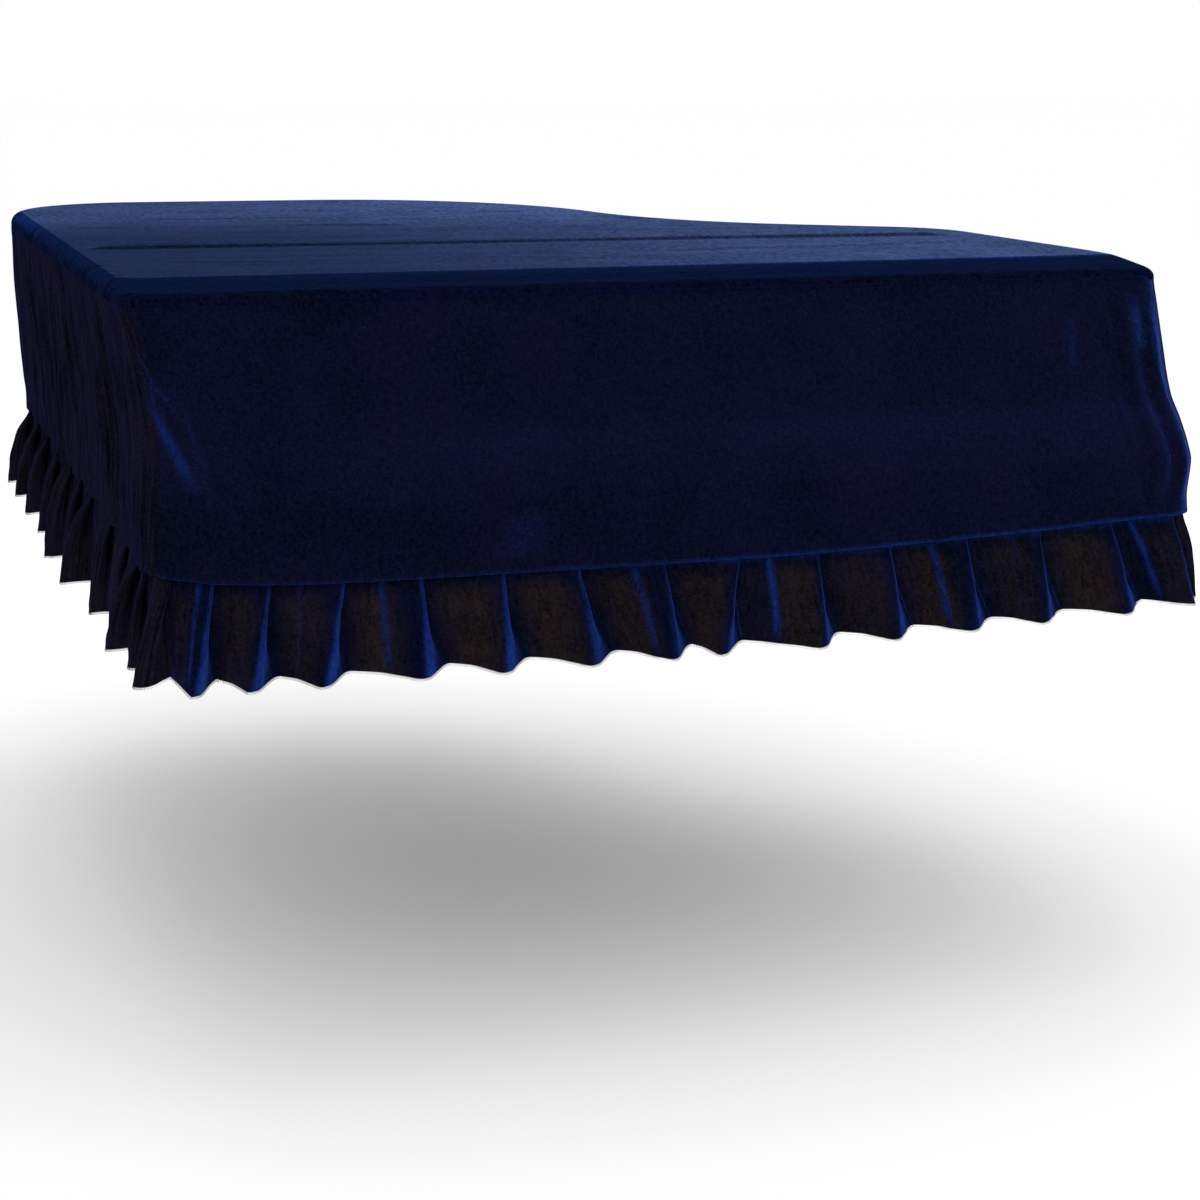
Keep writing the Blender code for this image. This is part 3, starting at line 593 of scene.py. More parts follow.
def seam_z(station):
    """Height of the seam between skirt and ruffle."""
    return ease_through(LEVEL_ROWS[:, 0], LEVEL_ROWS[:, 1], np.mod(station, AROUND))


def hem_z(station):
    """Height of the hem."""
    return ease_through(LEVEL_ROWS[:, 0], LEVEL_ROWS[:, 2], np.mod(station, AROUND))


# Folds, gathers and creases

def fold_knots():
    """Valleys and crests of the side skirts' folds: station, height at mid drop, height at the seam."""
    knots = [(0.0, 0.0, 0.0)]
    for first, last, folds, middle, seam in SIDE_FOLDS:
        start, end = corner_station(first), corner_station(last)
        pitch = (end - start) / folds
        for i in range(folds):
            valley = start + pitch * i + (FOLD_STRAY * pitch * uneven(i) if i else KNOT_END)
            crest = start + pitch * (i + 0.5 + FOLD_STRAY * uneven(i + 5))
            tall = 1 + FOLD_UNEVEN * uneven(3 * i + first)
            knots.append((valley, 0.0, 0.0))
            knots.append((crest, middle * tall, seam * tall))
        knots.append((end - KNOT_END, 0.0, 0.0))
    knots.append((AROUND, 0.0, 0.0))
    return np.array(knots)


KNOTS = fold_knots()


def side_fold(station, depth):
    """How far the side skirts' folds stand out, soft from valley to crest."""
    station = np.mod(station, AROUND)
    low = np.clip(np.searchsorted(KNOTS[:, 0], station) - 1, 0, len(KNOTS) - 2)
    share = smooth((station - KNOTS[low, 0]) / (KNOTS[low + 1, 0] - KNOTS[low, 0]))
    middle = KNOTS[low, 1] + (KNOTS[low + 1, 1] - KNOTS[low, 1]) * share
    seam = KNOTS[low, 2] + (KNOTS[low + 1, 2] - KNOTS[low, 2]) * share
    rise = ramp(depth, RIM_DEPTH, GATHER_RISE)
    fall = ramp(depth, GATHER_FALL[0], GATHER_FALL[1] - GATHER_FALL[0])
    return rise * (middle + (seam - middle) * fall)


def from_corner(station):
    """The station as a distance from the front left corner, negative along the left side."""
    station = np.mod(station, AROUND)
    return np.where(station > AROUND / 2, station - AROUND, station)


def front_fold(station, depth):
    """How far the front skirt's own few folds stand out."""
    station = from_corner(station)
    height = np.zeros(np.broadcast(station, depth).shape)
    for top, seam, start, end, half, tall in FRONT_FOLDS:
        middle = top + (seam - top) * depth / FRONT_SEAM_DEPTH
        ends = ramp(depth, start, FRONT_FOLD_END) * ramp(depth, end, -FRONT_FOLD_END)
        height = height + band(station, tall, middle, half) * ends
    return height


def draw_in(station, depth):
    """The sides and tail hang a little inside the rim, and the front doesn't."""
    station = np.mod(station, AROUND)
    past = np.minimum(station - corner_station(FRONT_RIGHT), AROUND - station)
    return -SIDE_DRAW_IN * smooth(past / DRAW_IN_RUN) * ramp(depth, RIM_DEPTH, DRAW_IN_RUN)


def crease_table():
    """Every fine crease: station, half width, height, start depth, end depth and lean."""
    rows = []
    for seed, start, end, count, half, tall, top, length, lean in CREASE_BANDS:
        chance = np.random.default_rng(seed)
        spread = (np.arange(count) + chance.uniform(*CREASE_SPREAD, count)) / count
        begin = chance.uniform(*top, count)
        rows.append(np.stack((
            start + (end - start) * spread, chance.uniform(*half, count), chance.uniform(*tall, count),
            begin, begin + chance.uniform(*length, count), chance.uniform(-lean, lean, count)), -1))
    return np.concatenate(rows)


CREASES = crease_table()


def fine_creases(station, depth):
    """How far the fine creases stand out; a depth below zero lies in from the rim, on the top."""
    station, depth = np.broadcast_arrays(np.mod(station, AROUND), depth)
    height = np.zeros(station.shape)
    for at, half, tall, start, end, lean in CREASES:
        middle = at + lean * (depth - start)
        near = (np.abs(station - middle) < half) & (depth > start) & (depth < end)
        if near.any():
            off = (station[near] - middle[near]) / half
            run = min(CREASE_FADE, (end - start) / 2)
            ends = ramp(depth[near], start, run) * ramp(depth[near], end, -run)
            height[near] += tall * ridge(off) * ends
    return height


def front_lines(station, depth, rows, fade):
    """For each line down the front, how much of it shows, faded at both of its ends."""
    station = from_corner(station)
    for high_at, low_at, high, low, half, strength in rows:
        share = (depth - high) / (low - high)
        middle = high_at + (low_at - high_at) * share
        ends = smooth(share / fade) * smooth((1 - share) / fade)
        yield band(station, strength, middle, half) * ends


def crumple(points, size, tall, seed):
    """Soft irregular relief over points, by the size of its dents."""
    flat = points.reshape(-1, 3) / size + seed
    made = np.fromiter((noise.noise(Vector(p)) for p in flat), float, len(flat))
    return tall * made.reshape(points.shape[:-1])


def main_folds(station, depth):
    """How far the cloth stands out from the wall, without its fine creases."""
    return side_fold(station, depth) + front_fold(station, depth) + draw_in(station, depth)


def edge_turn(distance):
    """How far a turned edge curls in, by the distance from it."""
    share = np.clip(1 - distance / EDGE_TURN, 0, 1)
    return -EDGE_TURN * (1 - np.sqrt(1 - share * share))


# Cloth

def add_marks(mesh, shape, marks):
    """Named values on the mesh's points, which its material reads."""
    for name, values in marks.items():
        layer = mesh.attributes.new(name, "FLOAT", "POINT")
        layer.data.foreach_set("value", np.ravel(np.broadcast_to(values, shape)).astype(np.float32))


def add_uv(mesh, across, down):
    """Cloth coordinates in metres: across the cloth, and down it."""
    layer = mesh.uv_layers.new(name="cloth")
    corners = np.empty(len(mesh.loops), np.int32)
    mesh.loops.foreach_get("vertex_index", corners)
    places = np.stack((np.ravel(across)[corners], np.ravel(down)[corners]), -1)
    layer.data.foreach_set("uv", places.ravel().astype(np.float32))


def grid_mesh(name, grid, across, down, marks):
    """One side of a sheet from a grid of points, rows first, facing out."""
    shape = grid.shape[:2]
    index = np.arange(shape[0] * shape[1]).reshape(shape)
    quads = np.stack((index[:-1, :-1], index[1:, :-1], index[1:, 1:], index[:-1, 1:]), -1)
    mesh = bpy.data.meshes.new(name)
    mesh.from_pydata(grid.reshape(-1, 3).tolist(), [], quads.reshape(-1, 4).tolist())
    add_uv(mesh, np.broadcast_to(across, shape), np.broadcast_to(down, shape))
    add_marks(mesh, shape, marks)
    return mesh


def put(name, data):
    """A new object in the scene."""
    made = bpy.data.objects.new(name, data)
    bpy.context.scene.collection.objects.link(made)
    return made


def finished_mesh(made):
    """A plain mesh of an object with its modifiers worked in."""
    return bpy.data.meshes.new_from_object(made.evaluated_get(bpy.context.evaluated_depsgraph_get()))


def hang(name, mesh, node, finishes, side):
    """Give a sheet its thickness and its finishes, and put it in its solid's place.

    Every finish is followed by the wrong side's, which the sheet's inner faces take.
    """
    made = put(name, mesh)
    for finish in finishes:
        mesh.materials.append(bpy.data.materials[finish])
        mesh.materials.append(bpy.data.materials["velvet wrong side"])
    thick = made.modifiers.new("thickness", "SOLIDIFY")
    thick.thickness = bpy.context.scene.velvet_cover.cloth_thickness
    thick.offset = side
    thick.material_offset = 1
    made.data = finished_mesh(made)
    made.modifiers.clear()
    made.data.name = name
    made.data.shade_smooth()
    made.data.set_sharp_from_angle(angle=CRISP_ANGLE)
    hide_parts(node)
    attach(made, "root")


# Materials

def add(tree, kind, settings=None, links=None):
    """One node of a kind, with its own settings, its sockets' values and what feeds them."""
    node = tree.nodes.new(kind)
    for key, value in (settings or {}).items():
        if isinstance(key, str) and hasattr(node, key) and key not in node.inputs:
            setattr(node, key, value)
        else:
            node.inputs[key].default_value = value
    for key, source in (links or {}).items():
        tree.links.new(source, node.inputs[key])
    return node


def new_material(name):
    """The empty node tree of a new material."""
    made = bpy.data.materials.new(name)
    made.use_nodes = True
    made.node_tree.nodes.clear()
    return made.node_tree


def finish_material(tree, settings, links=None):
    """The shader at the end of a material's tree."""
    shader = add(tree, "ShaderNodeBsdfPrincipled", settings, links)
    add(tree, "ShaderNodeOutputMaterial", links={"Surface": shader.outputs["BSDF"]})


def velvet(name, sheen_colour, sheen, sheen_rough, streaks, streak_size, highlight_colour=PAINTED_HIGHLIGHT_BLUE):
    """Cotton-backed silk velvet: a 1.5 mm cut pile, dark looked into and bright where it turns away.

    Where the pile is thin the brown ground weave shows through; on the ruffle's pleat faces that brown is
    also painted backlight, light shining through the cloth. Painted highlights stand in for sheen along folds
    and seams.
    """
    look = bpy.context.scene.velvet_cover
    tree = new_material(name)
    place = add(tree, "ShaderNodeTexCoord")
    in_place = {"Vector": place.outputs["Object"]}
    cloth = add(tree, "ShaderNodeUVMap", {"uv_map": "cloth"})
    worn = add(tree, "ShaderNodeAttribute", {"attribute_name": "worn"})
    lit = add(tree, "ShaderNodeAttribute", {"attribute_name": "lit"})
    patches = add(tree, "ShaderNodeTexNoise", {"Scale": 1 / PATCH, "Detail": 3.0}, in_place)
    tufts = add(tree, "ShaderNodeTexNoise", {"Scale": 1 / TUFT, "Detail": 3.0, "Roughness": 0.7}, in_place)
    width, length = streak_size
    long_way = add(tree, "ShaderNodeMapping", {"Scale": (1 / width, 1 / length, 1.0)},
                   {"Vector": cloth.outputs["UV"]})
    hanging = add(tree, "ShaderNodeTexNoise",
                  {"Scale": 1.0, "Detail": 4.0, "Roughness": 0.6, "Distortion": 0.3},
                  {"Vector": long_way.outputs["Vector"]})
    leaning = add(tree, "ShaderNodeMath", {"operation": "MULTIPLY", 1: PATCH_SHARE},
                  {0: patches.outputs["Fac"]})
    grain = add(tree, "ShaderNodeMath", {"operation": "MULTIPLY_ADD", 1: TUFT_SHARE},
                {0: tufts.outputs["Fac"], 2: leaning.outputs[0]})
    mixed = add(tree, "ShaderNodeMath", {"operation": "MULTIPLY_ADD", 1: streaks},
                {0: hanging.outputs["Fac"], 2: grain.outputs[0]})
    middle = 0.5 + 0.5 * streaks
    spread = add(tree, "ShaderNodeMapRange",
                 {"From Min": middle - GRAIN_SPREAD, "From Max": middle + GRAIN_SPREAD},
                 {"Value": mixed.outputs[0]})
    pile = add(tree, "ShaderNodeMix",
               {"data_type": "RGBA", 6: (*look.velvet_colour, 1.0), 7: (*look.velvet_lift, 1.0)},
               {0: spread.outputs["Result"]})
    # Its blue wanders a little towards violet and teal
    wandering = add(tree, "ShaderNodeMapRange",
                    {"From Min": 0.35, "From Max": 0.65, "To Min": 0.488, "To Max": 0.512},
                    {"Value": patches.outputs["Fac"]})
    hue = add(tree, "ShaderNodeHueSaturation", {"Saturation": 1.0, "Value": 1.0},
              {"Hue": wandering.outputs["Result"], "Color": pile.outputs[2]})
    # Brown ground weave, broken by cracks: thin nap, and on the ruffle's pleat faces painted backlight
    # shining through the cloth
    broken = add(tree, "ShaderNodeTexNoise",
                 {"Scale": 1 / CRACK, "Detail": 6.0, "Roughness": 0.7, "Distortion": 1.2}, in_place)
    cracks = add(tree, "ShaderNodeMapRange", {"From Min": 0.24, "From Max": 0.50},
                 {"Value": broken.outputs["Fac"]})
    thin = add(tree, "ShaderNodeMath", {"operation": "MULTIPLY"},
               {0: worn.outputs["Fac"], 1: cracks.outputs["Result"]})
    weave = add(tree, "ShaderNodeMix",
                {"data_type": "RGBA", 6: (*hex_linear(WEAVE_DARK), 1.0), 7: (*hex_linear(WEAVE_LIGHT), 1.0)},
                {0: spread.outputs["Result"]})
    bare = add(tree, "ShaderNodeMix", {"data_type": "RGBA"},
               {0: thin.outputs[0], 6: hue.outputs["Color"], 7: weave.outputs[2]})
    # Painted highlight: where the lit mark says, along folds, seams and creases and over the top, the colour
    # goes bright blue, tuft by tuft
    catching = add(tree, "ShaderNodeMapRange", {"To Min": 0.35, "To Max": 1.35},
                   {"Value": spread.outputs["Result"]})
    highlighted = add(tree, "ShaderNodeMath", {"operation": "MULTIPLY", "use_clamp": True},
                 {0: lit.outputs["Fac"], 1: catching.outputs["Result"]})
    colour = add(tree, "ShaderNodeMix", {"data_type": "RGBA", 7: (*hex_linear(highlight_colour), 1.0)},
                 {0: highlighted.outputs[0], 6: bare.outputs[2]})
    nap = add(tree, "ShaderNodeBump", {"Strength": 0.5, "Distance": 0.0010},
              {"Height": tufts.outputs["Fac"]})
    creased = add(tree, "ShaderNodeBump", {"Strength": min(1.0, streaks), "Distance": 0.0020},
                  {"Height": hanging.outputs["Fac"], "Normal": nap.outputs["Normal"]})
    crushed = add(tree, "ShaderNodeBump", {"Strength": 0.45, "Distance": 0.004},
                  {"Height": broken.outputs["Fac"], "Normal": creased.outputs["Normal"]})
    finish_material(tree, {"Roughness": 0.95, "Specular IOR Level": 0.0, "Sheen Weight": sheen,
                           "Sheen Roughness": sheen_rough, "Sheen Tint": (*sheen_colour, 1.0)},
                    {"Base Color": colour.outputs[2], "Normal": crushed.outputs["Normal"]})


def wrong_side(name):
    """The cotton ground weave of the velvet, dyed with it: dull, flat and a little browner."""
    tree = new_material(name)
    cloth = add(tree, "ShaderNodeUVMap", {"uv_map": "cloth"})
    across, down = (
        add(tree, "ShaderNodeTexWave", {"Scale": 1 / GROUND_WAVE, "Distortion": 0.6, "bands_direction": way},
            {"Vector": cloth.outputs["UV"]})
        for way in "XY")
    weave = add(tree, "ShaderNodeMath", {"operation": "MULTIPLY"},
                {0: across.outputs["Fac"], 1: down.outputs["Fac"]})
    colour = add(tree, "ShaderNodeMix",
                 {"data_type": "RGBA", 6: (*hex_linear("#0c1026"), 1.0), 7: (*hex_linear("#191c33"), 1.0)},
                 {0: weave.outputs[0]})
    relief = add(tree, "ShaderNodeBump", {"Strength": 0.4, "Distance": 0.0004}, {"Height": weave.outputs[0]})
    finish_material(tree, {"Roughness": 0.95, "Specular IOR Level": 0.2},
                    {"Base Color": colour.outputs[2], "Normal": relief.outputs["Normal"]})


def thread(name, colour):
    """Spun polyester overlocking thread: soft, faintly shiny, greyed by the light pile caught in it."""
    tree = new_material(name)
    place = add(tree, "ShaderNodeTexCoord")
    in_place = {"Vector": place.outputs["Object"]}
    shade = add(tree, "ShaderNodeTexNoise", {"Scale": 1 / THREAD_SHADE, "Detail": 2.0}, in_place)
    tone = add(tree, "ShaderNodeMix",
               {"data_type": "RGBA", 6: (*(c * 0.6 for c in colour), 1.0), 7: (*colour, 1.0)},
               {0: shade.outputs["Fac"]})
    twist = add(tree, "ShaderNodeTexWave", {"Scale": 1 / TWIST_WAVE}, in_place)
    relief = add(tree, "ShaderNodeBump", {"Strength": 0.3, "Distance": 0.0002},
                 {"Height": twist.outputs["Fac"]})
    finish_material(tree, {"Roughness": 0.7, "Specular IOR Level": 0.4, "Sheen Weight": 0.3},
                    {"Base Color": tone.outputs[2], "Normal": relief.outputs["Normal"]})


def make_materials():
    """The cloth's finishes and the thread, made once."""
    if "velvet wrong side" in bpy.data.materials:
        return
    look = bpy.context.scene.velvet_cover
    tint, spread = look.sheen_colour, look.sheen_roughness
    # Painted shade: the side panels get a shaded copy of the front's velvet, its sheen cut to a twentieth, as
    # if less light reached them
    shaded_sheen = look.sheen * 0.05
    finishes = (
        # name, colour, weight and spread of the sheen, how streaked the pile is, a streak's width and length
        ("top velvet", look.top_sheen_colour, look.top_sheen, 0.22, 0.8, (0.009, 0.022), TOP_PAINTED_HIGHLIGHT),
        ("rolled velvet", hex_linear(ROLLED_SHEEN), look.top_sheen * 0.65, 0.24, 0.6, (0.020, 0.012)),
        ("front velvet", tint, look.sheen, spread, 0.35, (0.006, 0.010)),
        ("gathered velvet", tint, shaded_sheen, spread, 0.9, (0.0055, 0.110)),
        ("ruffle velvet", tint, look.sheen * 0.55, spread, 0.5, (0.008, 0.030)),
    )
    for finish in finishes:
        velvet(*finish)
    wrong_side("velvet wrong side")
    thread("overlocking thread", look.thread_colour)


# The top

def rim_rows():
    """The rolled edge down to the rim: path along the cloth, height, inset, how far it faces outwards."""
    rows = []
    for step in range(ROLL_STEPS + 1):
        angle = math.pi / 2 * step / ROLL_STEPS
        rows.append((-ROLL * (math.pi / 2 - angle), CLOTH - ROLL * (1 - math.cos(angle)),
                     ROLL * (1 - math.sin(angle)), math.sin(angle)))
    low = CLOTH - ROLL
    drops = [low + (-RIM_DEPTH - low) * k / RIM_STEPS for k in range(1, RIM_STEPS + 1)]
    rows += [(low - z, z, 0.0, 1.0) for z in drops]
    return rows


def front_drop(points):
    """How far the flat has sloped down towards the rolled front edge, less and less down the rim."""
    past = np.maximum(0.0, RIDGE_Y - points[:, 1])
    return FRONT_SLOPE * past * np.clip((points[:, 2] + RIM_DEPTH) / RIM_DEPTH, 0, 1)


def rim_ring(station, path, z, inset, facing):
    """One ring of the rolled edge, with the puckers that stand out from it."""
    swell = fine_creases(station, path)
    ring = wall(station, z, -inset + swell * facing)
    ring[:, 2] += swell * math.sqrt(1 - facing * facing)
    ring[:, 2] -= front_drop(ring)
    return ring


def crease_lines(x, y):
    """For each crease of the flat, how many half widths past it the points lie and how tall it is there."""
    for x0, y0, x1, y1, half, tall, stray in TOP_CREASES:
        share = (x - x0) / (x1 - x0)
        way = np.sin(CREASE_BENDS * share + CREASE_SHIFT * x0)
        bend = stray * way * np.sin(np.pi * np.clip(share, 0, 1))
        ends = smooth(share / CREASE_TAPER) * smooth((1 - share) / CREASE_TAPER)
        yield (y - y0 - (y1 - y0) * share - bend) / half, tall * ends


def flat_relief(points, station, inward):
    """Height of the flat above its plane: long soft waves, the creases across it and the puckered rim."""
    x, y = points[:, 0], points[:, 1]
    height = SWELL_ACROSS * 0.5 * sum(
        np.sin(y * along + bend * np.sin(x * bends + shift)) * np.sin(x * across + start)
        for along, bend, bends, shift, across, start in FLAT_WAVES)
    for past, tall in crease_lines(x, y):
        height += tall * ridge(past)
    return height * smooth(inward / QUIET_BORDER) + fine_creases(station, -ROLL * math.pi / 2 - inward)


def flat_points(border):
    """Points inside the flat, clear of its border, staggered from row to row."""
    step_x, step_y = FLAT_STEP
    kept = []
    for row, y in enumerate(np.arange(border[:, 1].min(), border[:, 1].max(), step_y)):
        here = border[:, 1] - y
        after = np.roll(here, -1)
        crossing = (here <= 0) != (after <= 0)
        share = here[crossing] / (here[crossing] - after[crossing])
        x0, x1 = border[crossing, 0], np.roll(border[:, 0], -1)[crossing]
        ends = np.sort(x0 + (x1 - x0) * share)
        for start, end in zip(ends[::2], ends[1::2]):
            # Every other row starts half a step further on
            first = start + step_x * (0.6 + 0.5 * (row % 2))
            kept += [(x, y) for x in np.arange(first, end - 0.5 * step_x, step_x)]
    kept = np.array(kept)
    clear = np.full(len(kept), True)
    for start in range(0, RIM_COLUMNS, BLOCK):
        block = border[start:start + BLOCK, None, :2]
        clear &= (np.abs(kept[None] - block).max(-1) > FLAT_CLEARANCE).all(0)
    return kept[clear]


def lay_flat(station):
    """The points of the flat inside its border, with its relief and the slope down to the front."""
    border = wall(station, 0.0, -ROLL)
    inner = flat_points(border)
    tree = kdtree.KDTree(RIM_COLUMNS)
    for i, place in enumerate(border):
        tree.insert(place, i)
    tree.balance()
    found = [tree.find((x, y, 0)) for x, y in inner]
    near = station[[index for _, index, _ in found]]
    inward = np.array([gap for _, _, gap in found])
    flat = np.column_stack((inner, np.full(len(inner), CLOTH)))
    flat[:, 2] += flat_relief(flat, near, inward) - front_drop(flat)
    return flat


def top_faces(rings, flat):
    """Faces between the flat's points and its border, and faces from ring to ring of the rolled edge."""
    count = RIM_COLUMNS
    loop = [(i, (i + 1) % count) for i in range(count)]
    places = [Vector(point[:2]) for point in (*rings[0], *flat)]
    vertices, _, faces, sources, _, _ = delaunay_2d_cdt(places, loop, [], INSIDE_THE_LOOP, MERGED_BELOW)
    if len(vertices) != len(places):
        raise RuntimeError("the top's border and its points don't fit together")
    # The flat's own points are numbered after those of all the rings
    shift = (len(rings) - 1) * count
    order = [source[0] + (shift if source[0] >= count else 0) for source in sources]
    flat_faces = [tuple(order[k] for k in face) for face in faces]
    index = np.arange(len(rings) * count).reshape(len(rings), count)
    after = np.roll(index, -1, axis=1)
    sides = np.stack((index[:-1], index[1:], after[1:], after[:-1]), -1).reshape(-1, 4)
    return flat_faces, sides


def top_lit(points):
    """How much painted highlight the top gets, with painted shade on the near side of each crease."""
    lit = TOP_LIT
    for axis, more, start, run in TOP_LIT_SLOPES:
        lit = lit + more * ramp(points[:, axis], start, run)
    for past, tall in crease_lines(points[:, 0], points[:, 1]):
        sharp = np.minimum(1.0, tall / FULL_CREASE)
        lit = lit * (1 - sharp * band(past, *CREASE_DARK)) + sharp * band(past, *CREASE_LIGHT)
    # The painted highlight fades out at the top of the front slope, and the hanging rim gets none
    return lit * ramp(points[:, 2], *LIT_ON_RIM) * (1 - ramp(points[:, 1], RIDGE_Y, -LIT_BEFORE_RIDGE))


class COVER_OT_top(bpy.types.Operator):
    """Lay the top's cloth, with its rolled edge, puckers and creases"""
    bl_idname = "cover.top"
    bl_label = "Top"

    def execute(self, context):
        make_materials()
        station = np.arange(RIM_COLUMNS) * AROUND / RIM_COLUMNS
        rings = [rim_ring(station, *row) for row in rim_rows()]
        flat = lay_flat(station)
        flat_faces, sides = top_faces(rings, flat)
        points = np.concatenate(rings + [flat])
        mesh = bpy.data.meshes.new("top_cloth")
        mesh.from_pydata(points.tolist(), [], flat_faces + sides.tolist())
        add_uv(mesh, points[:, 0], points[:, 1])
        add_marks(mesh, len(points), {"worn": 0.0, "lit": top_lit(points)})
        flat_velvet, rolled, front_rim, side_rim = range(4)
        middle = points[np.array([face[:3] for face in flat_faces]), 1].mean(1)
        below = points[sides[:, 0], 2] < HANGING_BELOW
        in_front = points[sides[:, 0], 1] < FRONT_RIM_Y
        finish = np.concatenate((
            np.where(middle < RIDGE_Y, rolled, flat_velvet),
            np.where(below, np.where(in_front, front_rim, side_rim), rolled)))
        # Every other material is the wrong side's
        mesh.polygons.foreach_set("material_index", (2 * finish).astype(np.int32))
        finishes = ("top velvet", "rolled velvet", "front velvet", "gathered velvet")
        hang("top_cloth", mesh, "top_panel", finishes, INWARDS)
        return {"FINISHED"}


# The skirt

def with_turns(start, end, step):
    """Places from start to end, close together at both ends where the edge turns in."""
    turn = [EDGE_TURN * share for share in TURN_STEPS]
    middle = np.linspace(start + turn[-1], end - turn[-1], max(2, round((end - start) / step)))
    return np.concatenate(([start + t for t in turn[:-1]], middle, [end - t for t in turn[-2::-1]]))


def sunk(past):
    """How deep the cloth lies by its distance past a seam line, in its allowance."""
    return -ALLOWANCE_SINK * smooth(past / ALLOWANCE_STEPS[2])


def skirt_sheet(name, node, first, last, finish, column_step, row_step):
    """One skirt panel, from just under the rim to the seam."""
    start = corner_station(first) + SEAM_GAP / 2
    end = corner_station(last) - SEAM_GAP / 2
    station = np.concatenate((with_turns(start, end, column_step), end + ALLOWANCE_STEPS))[None]
    drop = FRONT_SEAM_DEPTH - RIM_DEPTH
    share = (np.concatenate((-ALLOWANCE_STEPS[::-1], with_turns(0.0, drop, row_step))) / drop)[:, None]
    top = -RIM_DEPTH - SEAM_GAP
    z = top + (seam_z(station) - top) * share
    depth = -z
    ends = np.minimum(np.abs(share), 1 - share) * drop
    creases = sum(front_lines(station, depth, FRONT_CREASES, CREASE_ENDS))
    out = main_folds(station, depth) + fine_creases(station, depth) + creases
    out = out + crumple(wall(station, z, out), *SKIRT_CRUMPLE) * smooth(ends / CRUMPLE_ENDS)
    out = out + np.minimum(edge_turn((1 - share) * drop), sunk(station - end) + sunk(-share * drop))
    # Painted highlights: streaks along the front's folds, and a line along the front seam's edge
    lit = np.maximum.reduce(list(front_lines(station, depth, FRONT_STREAKS, STREAK_ENDS)))
    in_front = first == FRONT_LEFT
    if in_front:
        at_left, more = SEAM_LIT
        seam = ramp(share, *SEAM_EDGE) * (at_left + more * ramp(station, *SEAM_LIT_RUN))
        lit = np.maximum(lit, seam)
    mesh = grid_mesh(name, wall(station, z, out), station, depth, {
        "worn": FRONT_WORN if in_front else SIDE_WORN, "lit": lit})
    hang(name, mesh, node, (finish,), INWARDS)


class COVER_OT_skirt(bpy.types.Operator):
    """Hang the four panels of the skirt, with their folds and gathers"""
    bl_idname = "cover.skirt"
    bl_label = "Skirt"

    def execute(self, context):
        make_materials()
        for row in SKIRTS:
            skirt_sheet(*row)
        return {"FINISHED"}


# The ruffle

def pleat_columns(before, pleat, spread):
    """One knife pleat's columns, from behind the fold before it, over its face and back under."""
    behind, valley = before
    crest = pleat.hem - CREST_BACK * spread
    columns = [Column(
        behind + CLEAR_OF_FOLD, 0.0, valley, 0.0, -VALLEY_RISE, 0.0, VALLEY_BROWN * pleat.worn, 0.0)]
    shares = {share for share, _, _ in FACE}
    if pleat.lit:
        shares |= {pleat.lit_at - STREAK_HALF, pleat.lit_at, pleat.lit_at + STREAK_HALF}
    for share in sorted(shares):
        over, out = ease_through(FACE_CURVE[:, 0], FACE_CURVE[:, 1:], share)
        hump = pleat.swell * max(0.0, 1 - abs(share - pleat.swell_at) / SWELL_REACH)
        thin = pleat.worn * float(smooth(BROWN_PLATEAU - abs(share - pleat.worn_at) / BROWN_REACH))
        bright = pleat.lit * max(0.0, 1 - abs(share - pleat.lit_at) / STREAK_HALF)
        columns.append(Column(
            behind + (pleat.head - behind) * share, 2 * LAYER * share, valley + (crest - valley) * over,
            pleat.flare * out + hump, (VALLEY_RISE + TIP_DROP) * out - VALLEY_RISE, share,
            thin * (1 - bright), bright))
    for turn, layers, past, out, face in RETURN:
        columns.append(Column(
            pleat.head + turn, layers * LAYER, pleat.hem + past * spread, pleat.flare * out,
            (VALLEY_RISE + TIP_DROP) * out - VALLEY_RISE, face, 0.0, 0.0))
    return columns


def fill_in(columns):
    """A strip's columns drawn through as smooth lines, with enough of them to be round."""
    rows = np.array(columns)
    steps = np.abs(np.diff(rows[:, :4], axis=0))
    reach = np.maximum(np.hypot(steps[:, 0], steps[:, 1]), np.hypot(steps[:, 2], steps[:, 3]))
    pace = np.concatenate(([0.0], np.cumsum(np.sqrt(reach + 1e-6))))
    pieces = np.clip(np.ceil(reach / COLUMN_STEP), FEWEST_COLUMNS, MOST_COLUMNS).astype(int)
    at = [pace[0]]
    for low, high, count in zip(pace, pace[1:], pieces):
        at += list(low + (high - low) * np.arange(1, count + 1) / count)
    dense = ease_through(pace, rows, np.array(at))
    face = Column._fields.index("face")
    dense[:, face] = np.interp(at, pace, rows[:, face])
    return dense


def front_ruffle_lit(share, head_at, face, lit):
    """How much painted highlight the front ruffle gets: along its folds, in streaks and below the seam."""
    # On the left of the front the light lies before a fold, on the right it lies past it
    rightward = ramp(head_at, *RIGHTWARD)
    place, half, wider = BEFORE_FOLD
    faint, stronger = BEFORE_FOLD_LIT
    before_fold = ridge((face - place) / (half + wider * share)) * (faint + stronger * share)
    before_fold = before_fold * (1 - rightward)
    past_fold = band(face, *PAST_FOLD) * share ** PAST_FOLD_RISE * rightward
    bright = FOLD_LIT * np.maximum(np.maximum(before_fold, past_fold), band(face, *FOLD_LINE))
    bright = np.maximum(bright, STREAK_LIT * lit * ramp(share, *STREAK_TOP) * ramp(share, *STREAK_BOTTOM))
    return np.maximum(bright, band(share, *BELOW_SEAM) * rightward)


